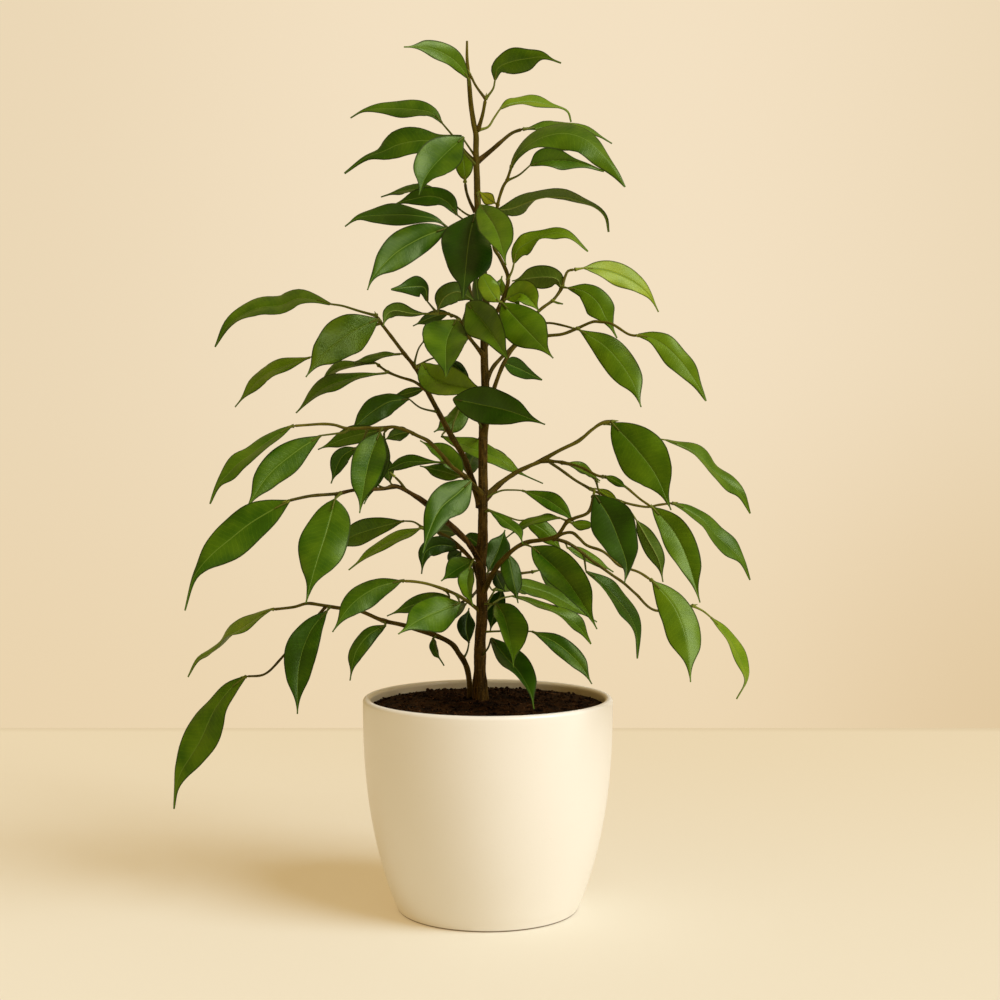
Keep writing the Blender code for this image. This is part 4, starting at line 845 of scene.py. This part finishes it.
grow("branch_upper_left", [
    Stem([(481, 506, 0), (472, 480, -7), (464, 458, -12), (451, 435.5, -18), (439, 413, -24),
        (427, 390.6, -30), (417, 370, -35), (404.5, 354, -40), (392, 337.5, -44), (381, 323, -47),
        (377, 316, -48)], (4, 1.8), young=0.2),
    Stem([(428, 392, -30), (415, 382, -35), (400, 377, -41), (388, 372, -45), (378, 365, -49)], (1.9, 1.4),
        young=0.3),
], [
    Leaf((377, 316), [(330, 304), (314, 299), (298, 297), (280, 304), (260, 306), (242, 314), (227, 326),
        (215, 347)], (-58, -72), (1.5, (0.12, 4, 4), (0.24, 6, 8.5), (0.39, 10, 11.5), (0.53, 11, 8.5),
        (0.68, 7, 3.5), (0.82, 4, 3.5), 0.8), 0.42, [(359, 311), (343, 306)], stout=1.6),
    Leaf((380, 321), [(378, 319), (350, 333), (324, 353), (306, 377)], (-42, -12), (19, 20), 0.46),
    Leaf((381, 323), [(310, 357.5), (288, 364), (262, 375.5), (235, 407)], (-62, -76), (7, 8), 0.52,
        [(350, 337)], belly=0.48),
    Leaf((404, 354), [(400, 354), (378, 356), (353, 362.5)], (-44, -58), (4, 4.5), 0.4, belly=0.55),
    Leaf((379, 365), [(376, 363), (350, 365), (332, 370.5), (319, 387)], (-52, -68), (5, 5), 0.42,
        belly=0.62),
    Leaf((388, 372), [(386, 373), (354, 377), (322, 388), (296, 413)], (-42, -26), (8, 7), 0.42, belly=0.6),
    Leaf((437, 413), [(409, 399), (388, 402), (367, 415.5), (348.5, 434)], (-20, -4), (11, 13.5), 0.28,
        [(421, 408)], belly=0.46),
    Leaf((427, 389), [(424, 389), (405, 394), (388, 398)], (-33, -44), (5, 5), 0.32),
    Leaf((417, 368), [(422, 363), (438, 380), (487, 391)], (-30, 8), (18, 14), 0.54),
    Leaf((416, 366), [(450, 360), (460, 371), (472, 388)], (-30, -26), (9, 6), 0.22, [(434, 358)]),
    Leaf((416, 364), [(423, 342), (435, 335), (450, 330)], (-32, -24), (6, 6), 0.25, [(418, 350)]),
    Leaf((452, 437), [(461, 402), (455, 418), (434, 432)], (-40, -26), (9, 13), 0.4, [(453, 425),
        (458, 412)]),
    Leaf((447, 429), [(441, 436), (468, 446), (497, 457), (516, 471), (543, 483.5)], (-32, -20), (9, 9), 0.5,
        drip=0.18, belly=0.46),
])
grow("branch_front_left", [
    Stem([(484, 356, 0), (472, 341, 8), (464, 330, 13), (459, 319, 17), (448, 314, 19), (437, 313, 20)],
        (2.4, 1.3), young=0.3),
], [
    Leaf((437, 313), [(427, 301), (425, 288), (412, 286.5), (391, 289.5)], (22, 32), (1.5, (0.2, 3, 7),
        (0.4, 9.5, 10), (0.6, 8, 9), (0.8, 3.2, 4.5), 0.8), 0.24, [(432, 307)]),
    Leaf((438, 313), [(438, 309), (445, 297), (459, 292), (478, 303)], (16, 4), (11, 11), 0.45,
        shows="back"),
    Leaf((438, 313), [(430, 314), (412, 313), (396, 310), (387, 314), (383, 326)], (22, 34), (7.5, 7), 0.48,
        shows="back", belly=0.62),
    Leaf((459, 320), [(456, 320), (446, 342), (446, 377)], (24, 76), (2, (0.12, 13, 9), (0.3, 24, 18),
        (0.5, 20.5, 22), (0.7, 11, 15), (0.87, 3.5, 5), 0.8), 0.42),
    Leaf((452, 315), [(449, 313), (432, 317), (413, 326)], (14, 0), (6, 6), 0.2),
    Leaf((463, 328), [(467, 303), (487, 328), (507, 358)], (26, 74), (2, (0.12, 10, 12), (0.3, 18.5, 16),
        (0.5, 14.5, 17), (0.7, 8, 13), (0.87, 4, 5), 1), 0.42, [(465, 316)]),
])
grow("branch_middle_left", [
    Stem([(482, 494, 1), (464, 476, 9), (451, 466, 11), (441, 454, 14), (429, 441.6, 17), (417, 435.5, 19),
        (406.5, 430.4, 21), (394, 427, 23), (384, 428, 25), (365, 428, 28), (347, 428.4, 31), (335, 425, 33),
        (323, 424, 35), (306.5, 425, 38), (293, 426, 40)], (2.6, 1.4), young=0.45),
], [
    Leaf((294, 426), [(291, 426.5), (279.5, 433), (265, 442), (249.5, 453.5), (237, 463), (227.5, 473.5),
        (218, 485), (210, 504)], (40, 48), (1.2, (0.12, 4.5, 5), (0.26, 7, 7), (0.43, 5, 7.5), (0.56, 8, 8),
        (0.69, 7.5, 8), (0.82, 3, 3), 0.8), 0.42),
    Leaf((349, 428), [(321, 435.5), (296, 451.5), (268.5, 475), (246, 509)], (32, 54), (15, 15.5), 0.38,
        [(345, 432), (337, 433.5)], belly=0.48),
    Leaf((385, 428), [(384, 430), (350, 436), (318, 449.5)], (20, 4), (9, 9.5), 0.36, belly=0.46),
    Leaf((382, 428), [(380, 432), (368, 464), (359.6, 513)], (28, 66), (17, 16), 0.36),
    Leaf((388, 427), [(384, 433), (383.5, 462), (364, 504)], (22, 44), (12, 6.5), 0.32, belly=0.56),
    Leaf((368, 428), [(356, 448), (341, 458), (331, 483.5)], (24, 18), (8.5, 8), 0.3, [(363, 440)]),
    Leaf((446, 460), [(446, 463), (426, 461.5), (404, 462), (385, 472)], (10, 0), (7, 7), 0.32, belly=0.66),
    Leaf((464, 476), [(460, 477), (443, 471.5), (420, 466)], (6, -8), (8, 8.5), 0.38),
    Leaf((413, 433.5), [(410, 432), (398, 434), (384, 440)], (14, 2), (7, 7), 0.34),
    Leaf((464, 476), [(462, 475), (447, 458), (420, 440.5)], (3, 3), (12, 7), 0.42),
    Leaf((467, 479), [(471, 481), (458, 493), (440, 509), (429, 532), (423, 553)], (16, 48), (2,
        (0.1, 10, 10), (0.22, 16.5, 16.5), (0.38, 17.5, 18), (0.52, 13.5, 14), (0.7, 7, 8.5), (0.86, 2.2, 3),
        0.8), 0.34),
])
grow("branch_low_left", [
    Stem([(482, 566, 1), (467, 541, 10), (449, 523, 17), (427, 503, 25), (412, 494, 30), (400, 487.5, 34),
        (392, 486, 37), (384, 488.6, 40), (355, 490, 47), (337, 493.7, 51), (310, 496, 56),
        (288, 500.8, 60)], (3.3, 1.5)),
    Stem([(405, 489, 33), (400, 482, 36), (394, 476, 38)], (1.4, 1.2)),
], [
    Leaf((289, 500.7), [(289, 501), (270, 511), (250, 523), (231, 538), (214, 552), (201, 566), (192.5, 581),
        (185, 610.6)], (60, 70), (1.5, (0.14, 12, 13.5), (0.28, 18, 20), (0.44, 18, 20.5), (0.58, 11.5, 15),
        (0.7, 4.5, 7), (0.8, 2, 3), 0.8), 0.36),
    Leaf((341, 493), [(335, 499), (326, 530), (316, 562), (306, 603)], (56, 94), (20.5, 24.5), 0.36,
        [(338, 496)], belly=0.35),
])
grow("branch_inner_left", [
    Stem([(481, 586, -1), (472.5, 562, -8), (461, 548.5, -14), (450, 538.5, -20), (435, 531, -26),
        (423, 528, -30)], (2.9, 1.6), young=0.2),
], [
    Leaf((423, 528), [(404, 521), (377, 527.5), (352, 536), (330, 551)], (-36, -60), (12, 12), 0.36,
        [(414, 522)], belly=0.52),
    Leaf((424, 528.5), [(421, 528), (383.5, 543.5), (348.6, 570)], (-28, -16), (6, 6), 0.55),
    Leaf((461, 548.5), [(459, 548), (441, 545), (425.5, 552), (421.5, 574)], (-16, -8), (9, 9), 0.12),
    Leaf((463, 551), [(461, 552), (455, 557), (450, 567)], (-18, -22), (8, 8), 0.15),
])
grow("twig_low_left", [
    Stem([(482, 613, 1), (471, 604, 5), (459, 596, 7), (446, 590, 9), (428, 584, 12), (414.5, 581.6, 14),
        (403, 581, 16)], (2, 1.5), young=0.8),
], [
    Leaf((404, 581), [(402, 580.5), (374.5, 588), (351, 604.5), (332.5, 632)], (16, 34), (10.5, 15), 0.36,
        belly=0.46),
    Leaf((446, 590), [(450, 597), (418, 603), (387, 616)], (4, -10), (8, 8), 0.34),
    Leaf((457, 595), [(460, 603), (440, 610), (420, 619), (398.4, 634)], (14, 46), (16, 19.5), 0.4,
        belly=0.38),
])


# The branches on the right, from the top down, made as those on the left are. The lowest two fork into side
# twigs, and the highest climbs beside the trunk with young, lighter leaves.

grow("branch_upper_right", [
    Stem([(484, 338, 0), (491, 322, 9), (501, 304, 15), (505, 295, 17), (508, 277, 19), (500, 258, 20),
        (494, 247, 20), (495, 225, 20), (498, 203, 21), (503, 187, 23), (507, 180, 24), (512, 165, 27)],
        (2.6, 1.5), young=0.5),
], [
    Leaf((512, 166), [(510, 170), (516, 156), (528, 144), (545, 135), (566, 132), (587, 139), (604, 155),
        (616, 172), (625, 187)], (27, 44), (1, (0.11, 3, 4.5), (0.22, 5.5, 7.5), (0.34, 8, 12),
        (0.48, 9, 17.5), (0.62, 6, 17.5), (0.76, 3.2, 13), (0.89, 2.5, 5.5), 0.8), 0.4),
    Leaf((507, 181), [(530, 165.5), (545, 161), (562, 160), (582, 163), (604, 171.5)], (14, 6), (1,
        (0.1, 9, 3.5), (0.22, 12, 6), (0.4, 10, 9), (0.6, 3.5, 7), (0.8, 1.5, 3), 0.8), 0.42, [(519, 175)],
        stout=1.2),
    Leaf((498, 205), [(495, 203), (487, 198), (479, 191)], (14, 8), (6, 6), 0.9),
    Leaf((496, 214), [(499, 210), (512, 207), (528, 199.5), (545, 194.5), (565, 194.5), (583, 200),
        (597.5, 207.5), (606, 217.5), (608.5, 232)], (18, -2), (2, (0.1, 7, 9.5), (0.2, 7.5, 12.5),
        (0.27, 6, 8.5), (0.34, 4.5, 3.5), (0.52, 3.5, 3), (0.66, 3.2, 3.8), (0.8, 2.5, 2.5), 1), 0.5,
        shows="back"),
    Leaf((508, 280), [(514, 263), (517, 251), (525, 244), (540, 236), (556, 232.5), (571, 237),
        (588, 251.5)], (24, 30), (1.5, (0.13, 6, 8), (0.24, 9.5, 10), (0.33, 8, 7.5), (0.42, 6, 4),
        (0.59, 5.5, 6), (0.77, 3.5, 2.5), 0.8), 0.56, [(512, 271)]),
    Leaf((502, 302), [(499, 302), (489, 287), (479, 268)], (22, 28), (12, 10), 0.62),
    Leaf((504, 298), [(503, 296), (500, 287), (502, 276)], (10, 2), (6, 6), 0.62),
    Leaf((503, 300), [(506, 299), (523, 293), (540, 312)], (18, 28), (13, 11), 0.6),
    Leaf((501, 306), [(502, 303), (525, 327), (553, 358)], (28, 74), (20.5, 18.5), 0.44, belly=0.39),
])
grow("branch_right_climb", [
    Stem([(485, 386, -2), (492, 369, -8), (501, 358, -12), (515, 344, -16), (526, 325, -18), (540, 310, -20),
        (552, 301, -23), (558, 294, -26), (562, 287, -28), (565, 277, -31), (568, 271, -32),
        (575, 269.5, -34)], (2.4, 1.5), young=0.4),
], [
    Leaf((575, 269.5), [(584, 268), (603, 269), (622, 275), (638, 284), (650, 296), (658.5, 312)],
        (-36, -50), (10, 11), 0.72),
    Leaf((561, 289), [(561, 289), (557, 279), (540, 277), (512, 281)], (-32, -42), (12, 11.5), 0.56,
        shows="back", belly=0.5),
    Leaf((562, 287), [(568, 288), (584, 291), (598, 302), (606.5, 318.5), (617, 338)], (-22, -4), (1,
        (0.15, 6.5, 5.5), (0.35, 13, 12), (0.55, 13.5, 12.5), (0.72, 6, 6.5), (0.86, 1.8, 2), 0.7), 0.48),
    Leaf((552, 301), [(555, 302), (558, 303), (563, 304)], (-20, -18), (1.2, 1.2), 0.7),
])
grow("branch_right_reach", [
    Stem([(484, 440, -2), (491, 400, 6), (500, 372, 9), (509, 354, 8), (520, 342, 6), (535, 337, 7),
        (550, 335.5, 8), (563, 334, 10), (577, 328.5, 12), (592, 322, 15), (600, 322, 17), (612, 324, 20),
        (628, 334, 24), (638, 336, 26)], (2.8, 1.3), young=0.4),
    Stem([(520, 342, 6), (535, 326, 0), (548, 323, 2), (561, 325, 7), (574, 328.5, 11)], (1.4, 1.2),
        young=0.4),
], [
    Leaf((577, 328), [(578, 329), (604, 345), (621, 363), (633.5, 383), (641, 407)], (14, 38), (17, 14.5),
        0.46, belly=0.52),
    Leaf((637, 336), [(638, 335), (652, 338), (665, 345), (678, 357), (689, 371), (698.5, 386), (706, 401)],
        (26, 44), (1.5, (0.14, 6.5, 5), (0.28, 12, 10.5), (0.47, 9, 13), (0.66, 8, 10.5), (0.83, 3.5, 4.5),
        0.8), 0.52),
    Leaf((501, 370), [(503, 362), (520, 369), (542, 380)], (6, -10), (1, (0.15, 8, 6), (0.35, 9, 9),
        (0.6, 5.5, 7), (0.8, 2.5, 3.5), 0.8), 0.26),
])
grow("branch_middle_right", [
    Stem([(483, 500, 0), (491, 491, -6), (501, 482.5, -8), (515.5, 472.7, -10), (528, 466.5, -11),
        (542, 461, -12), (554, 453.5, -13), (566.5, 447, -14), (579, 441, -15), (591, 430.5, -16),
        (601, 424, -16), (612, 421.5, -16)], (2.9, 1.6), young=0.6),
    Stem([(540, 461.5, -12), (560, 462, -6), (580, 467, 1), (596, 475, 7), (604, 477, 10), (615, 480, 12),
        (627, 488, 16), (640, 499, 19), (651, 506.5, 22)], (1.8, 1.3), young=0.6),
    Stem([(545, 459, -12), (562, 470.6, -15), (575, 480, -17), (587, 487, -19), (594, 491, -20),
        (620, 501, -22), (634, 505, -23), (648, 507, -24), (658, 505, -25), (672.7, 503, -26)], (1.7, 1.3),
        young=0.4),
], [
    Leaf((613, 421), [(612, 423), (636.5, 449), (656.5, 476), (671, 510)], (-14, 14), (23.5, 23.5), 0.44,
        fold=0.06),
    Leaf((604, 423), [(666, 440), (690, 448), (703, 457), (715.5, 470), (730, 482.5), (741.5, 494),
        (750.2, 513.5)], (-40, -54), (1, (0.22, 3.5, 4), (0.35, 6, 6), (0.51, 5.5, 6.5), (0.68, 7.5, 8),
        (0.82, 4, 4.5), 0.8), 0.45, [(626, 428), (648, 437)]),
    Leaf((650, 506), [(652, 507), (673.5, 530.5), (687.5, 559), (700, 602.5)], (22, 46), (14.5, 15), 0.46,
        belly=0.43),
    Leaf((603, 476), [(605, 476), (614, 480), (628, 489)], (16, 28), (4, 4.5), 0.4),
    Leaf((672, 503), [(673, 503.5), (689, 510), (704.5, 520), (717, 534.5), (731, 547.5), (742, 561),
        (750, 580)], (-26, -36), (1, (0.16, 4.5, 4.5), (0.32, 7, 7), (0.49, 8, 9), (0.66, 9.5, 8.5),
        (0.81, 3.5, 3.5), 0.8), 0.4),
    Leaf((562, 463), [(568, 463), (584, 469), (600, 481)], (-16, -30), (5, 4.5), 0.45),
    Leaf((590, 489), [(598, 489), (608, 494), (620, 502)], (-12, -6), (3.5, 3.5), 0.6),
    Leaf((620, 501), [(637, 521), (648, 540), (658.5, 560), (663, 582)], (-20, -8), (9, 9), 0.5,
        [(630, 511)], shows="back"),
])
grow("branch_low_right", [
    Stem([(482, 594, 1), (488, 583, 5), (495, 570, 9), (503, 559.6, 13), (515.5, 548, 17), (528, 542, 21),
        (542, 540, 25), (555, 537, 29), (561, 531, 31), (567, 522, 33), (575, 518, 36), (589, 511.6, 41),
        (594, 493, 46)], (3.2, 1.6), young=0.4),
    Stem([(552, 538, 28), (568, 543, 27), (580, 551, 26), (591, 560, 25), (601, 567, 23), (613.5, 576, 21),
        (623.7, 583, 19), (636, 594, 17), (656, 610.6, 14), (692, 605.5, 11)], (1.8, 1.3), young=0.4),
    Stem([(553, 540, 28), (562, 534, 31), (572, 532.6, 33), (579, 538, 36), (587, 545.5, 38),
        (601, 550.4, 41), (609, 556, 42), (619.6, 565.7, 43), (638, 571.8, 44), (651, 580, 45)], (1.8, 1.3),
        young=0.5),
], [
    Leaf((593, 497), [(595, 495), (610, 518), (622, 548), (627, 567), (624.5, 583)], (50, 88), (20.5, 21),
        0.18),
    Leaf((651, 580), [(652, 580.5), (674, 605.5), (687, 640), (690.6, 682)], (46, 70), (19, 15.5), 0.48,
        belly=0.46),
    Leaf((692, 605.5), [(711, 617.5), (730.5, 638), (742, 659), (746.5, 679), (736.5, 699)], (8, 0),
        (6, 5.5), 0.62, [(703, 611)]),
    Leaf((584, 554), [(586, 571.5), (600.5, 580.5), (613, 592.5), (625, 606), (633.5, 620.5), (637.5, 636),
        (637.3, 658.6)], (18, 12), (1, (0.15, 4, 5), (0.31, 8, 9), (0.48, 8.5, 8.5), (0.64, 4.5, 6),
        (0.78, 3, 4), 0.8), 0.3),
    Leaf((524, 543.5), [(532, 547), (561, 572), (581, 600), (597, 629)], (30, 68), (15, 19.5), 0.37,
        belly=0.41),
    Leaf((500, 564), [(496, 573), (500, 582), (505, 592)], (2, -6), (7, 6), 0.05),
    Leaf((566, 542), [(567, 547.5), (589.5, 557), (613.5, 572)], (16, 4), (5.5, 6), 0.45),
    Leaf((498, 567), [(508, 554), (513, 577), (518, 603)], (10, 26), (11, 9), 0.32, [(502, 561)],
        belly=0.38),
    Leaf((568, 521), [(560, 518), (541, 518), (523, 525), (506, 538)], (22, 4), (4, 5), 0.45),
    Leaf((569, 521), [(571, 523), (583, 524.5), (597, 525)], (38, 44), (4.5, 6), 0.45),
])


# The branches at the back, which the front of the plant hides. They are made as the others are and fill the
# plant out, so that it is as leafy from behind as a pot plant that is turned now and then.

grow("branch_back_high", [
    Stem([(485, 345, -1), (480, 326, -18), (472, 300, -38), (468, 275, -58), (470, 252, -74)], (2.6, 1.5)),
], [
    Leaf((472, 300), [(462, 322), (452, 340), (446, 360)], (-46, -80), (12, 12), stalk=[(467, 308)]),
    Leaf((480, 326), [(484, 322), (494, 333), (502, 346)], (-30, -62), (9, 9)),
    Leaf((472, 300), [(479, 304), (477, 290), (475, 272)], (-42, -66), (6, 7.5)),
    Leaf((470, 254), [(468, 248), (462, 262), (462, 284)], (-80, -112), (12, 12)),
    Leaf((478, 320), [(508, 314), (524, 328), (540, 346)], (-38, -66), (9, 9), stalk=[(494, 312)]),
    Leaf((470, 252), [(468, 240), (470, 230), (478, 218)], (-76, -96), (8, 8)),
])
grow("branch_back_middle", [
    Stem([(483, 436, -2), (486, 424, -24), (494, 411, -48), (506, 405, -72)], (2.6, 1.5)),
    Stem([(485, 428, -16), (477, 442, -46), (470, 448, -66)], (1.6, 1.4)),
], [
    Leaf((491, 414), [(483, 406), (470, 402), (458, 401)], (-54, -84), (8, 8)),
    Leaf((506, 405), [(507, 406), (515, 410), (524, 417)], (-76, -92), (4, 5)),
    Leaf((500, 407), [(500, 404), (490, 400), (482, 396)], (-70, -98), (6, 6)),
    Leaf((477, 442), [(478, 450), (471, 462), (468, 480)], (-48, -72), (10, 10)),
    Leaf((477, 442), [(486, 452), (500, 458), (515, 468)], (-56, -84), (7, 7)),
])
grow("branch_back_left", [
    Stem([(482, 553, 0), (466, 541, -18), (448, 524, -34), (426, 505, -48), (410, 493, -58), (400, 487, -66),
        (384, 488.6, -74), (355, 490, -84), (337, 493.7, -90)], (3, 1.6)),
], [
    Leaf((337, 493.7), [(333, 505), (322, 545), (311, 588)], (-92, -118), (15, 16)),
    Leaf((384, 488.6), [(376, 484), (368, 466), (374, 440)], (-78, -100), (11, 11)),
    Leaf((337, 493.7), [(290, 501), (270, 509), (250, 521), (228, 538), (208, 560)], (-94, -110), (6, 6),
        stalk=[(314, 496)]),
    Leaf((447, 518), [(452, 512), (456, 500), (464, 488)], (-44, -72), (9, 9)),
    Leaf((447, 518), [(456, 534), (446, 531), (431, 531)], (-40, -60), (7, 7)),
    Leaf((394, 487), [(390, 482), (388, 470), (382, 452)], (-72, -94), (6, 6)),
])
grow("branch_back_right", [
    Stem([(483, 503, 0), (492, 493, -18), (503, 482, -30), (516, 473, -42), (530, 466, -52), (554, 453, -64),
        (579, 440, -74), (601, 423, -86), (614, 421, -90)], (3, 1.5)),
    Stem([(543, 459, -59), (562, 463, -68), (580, 468, -76), (596, 480, -82)], (1.6, 1.4)),
], [
    Leaf((613, 421), [(618, 427), (643, 455), (662, 492)], (-92, -120), (14, 14)),
    Leaf((596, 480), [(600, 498), (614, 530), (624, 560)], (-86, -108), (15, 15)),
    Leaf((562, 463), [(567, 464), (580, 468), (594, 477)], (-74, -98), (4, 4)),
])
grow("branch_back_low", [
    Stem([(482, 588, 0), (486, 578, -22), (496, 572, -42), (512, 574, -62), (532, 572, -80)], (2.8, 1.5)),
    Stem([(483, 583, -10), (472, 596, -36), (458, 604, -58), (446, 608, -74)], (1.8, 1.4)),
], [
    Leaf((532, 572), [(540, 570), (562, 586), (588, 614)], (-84, -114), (12, 12)),
    Leaf((496, 572), [(502, 590), (495, 610), (490, 632)], (-50, -66), (9, 9)),
    Leaf((446, 608), [(440, 609), (422, 618), (406, 628)], (-78, -106), (9, 9)),
    Leaf((472, 596), [(466, 604), (452, 612), (438, 616)], (-44, -70), (7, 7)),
    Leaf((484, 580), [(492, 590), (520, 588), (548, 592)], (-30, -56), (5, 5)),
])


# The room: a sheet of warm cream paper for the floor, cut off where the wall behind it begins. The wall and
# the soft light that fills the room are the world's, so that the plant can be looked at from behind too.

FLOOR_END = 0.586
FLOOR_REACH = 5.0
SEAM_SHADOW_WIDTH = 0.026
KEY_SIDE = math.radians(32)
KEY_HEIGHT = math.radians(42)
KEY_SPREAD = math.radians(34)
KEY_STRENGTH = 3.05

# The paper glows: painted light that lifts its shadows, with its colour set lower to match.
paper = Finish("cream paper", Roughness=0.8, Specular_IOR_Level=0.15, Emission_Strength=1.0)
depth = paper.parts(paper.spot())[1]
# Painted shade: the paper is darker and yellower towards the wall.
colour = paper.mix(paper.ramp(depth, -0.30, FLOOR_END), (0.530, 0.570, 0.535), (0.470, 0.480, 0.410))
colour = paper.mix(paper.grain(3.0, 2.0) * 0.12, colour, (0.48, 0.50, 0.45))
# Painted shadow: a darker strip at the far end of the floor, in both its colour and its glow.
seam_shadow = paper.ramp(depth, FLOOR_END - SEAM_SHADOW_WIDTH, FLOOR_END)
paper.feed("Base Color", paper.mix(seam_shadow * 0.4, colour, (0.36, 0.34, 0.26)))
paper.feed("Emission Color", paper.mix(seam_shadow * 0.3, (0.325, 0.212, 0.104), (0.24, 0.15, 0.07)))

floor = Shape()
ends = [[floor.corner((side * FLOOR_REACH, y, 0)) for side in (-1, 1)] for y in (-FLOOR_REACH, FLOOR_END)]
floor.weave(ends, closed=False)
floor = floor.make("floor")
floor.data.materials.append(paper.material)

# The wall's glow where the camera sees it, and a dimmer, warmer one where it lights the plant.
world = bpy.data.worlds.new("cream room")
world.use_nodes = True
bpy.context.scene.world = world
room = Shading(world.node_tree)
side, _, rise = room.parts(room.node("ShaderNodeTexCoord", output="Generated"))
# Painted shade on the wall: darker towards the sides, lower down, and most at the lower right.
wall = room.mix(room.ramp(abs(side - 0.03), 0.06, 0.34), (0.900, 0.750, 0.540), (0.830, 0.680, 0.466))
low = room.ramp(rise, -0.19, 0.08, 1.0, 0.0)
wall = room.mix(low * 0.62, wall, (0.822, 0.640, 0.395))
wall = room.mix(low * room.ramp(side, 0.10, 0.32) * 0.55, wall, (0.700, 0.515, 0.290))
seen = room.node("ShaderNodeLightPath", output="Is Camera Ray")
glow = room.mix(seen, (0.52, 0.37, 0.165), wall)
room.tree.links.new(glow.socket, room.tree.nodes["Background"].inputs["Color"])

# A far, soft key light from the right of the viewer.
lamp = bpy.data.lights.new("key", "SUN")
lamp.angle, lamp.energy, lamp.color = KEY_SPREAD, KEY_STRENGTH, (0.87, 0.93, 1.0)
towards = Vector((math.cos(KEY_SIDE) * math.cos(KEY_HEIGHT), -math.sin(KEY_SIDE) * math.cos(KEY_HEIGHT),
                  math.sin(KEY_HEIGHT)))
key = put("key", lamp)
key.rotation_euler = towards.to_track_quat("Z", "Y").to_euler()
key.location = towards * 2

lens = bpy.data.cameras.new("camera")
lens.lens, lens.sensor_width = LENS, SENSOR
camera = put("camera", lens)
camera.location = EYE
camera.rotation_euler = (math.pi / 2 - EYE_TILT, 0, 0)
bpy.context.scene.camera = camera
bpy.context.scene.view_settings.view_transform = "Standard"
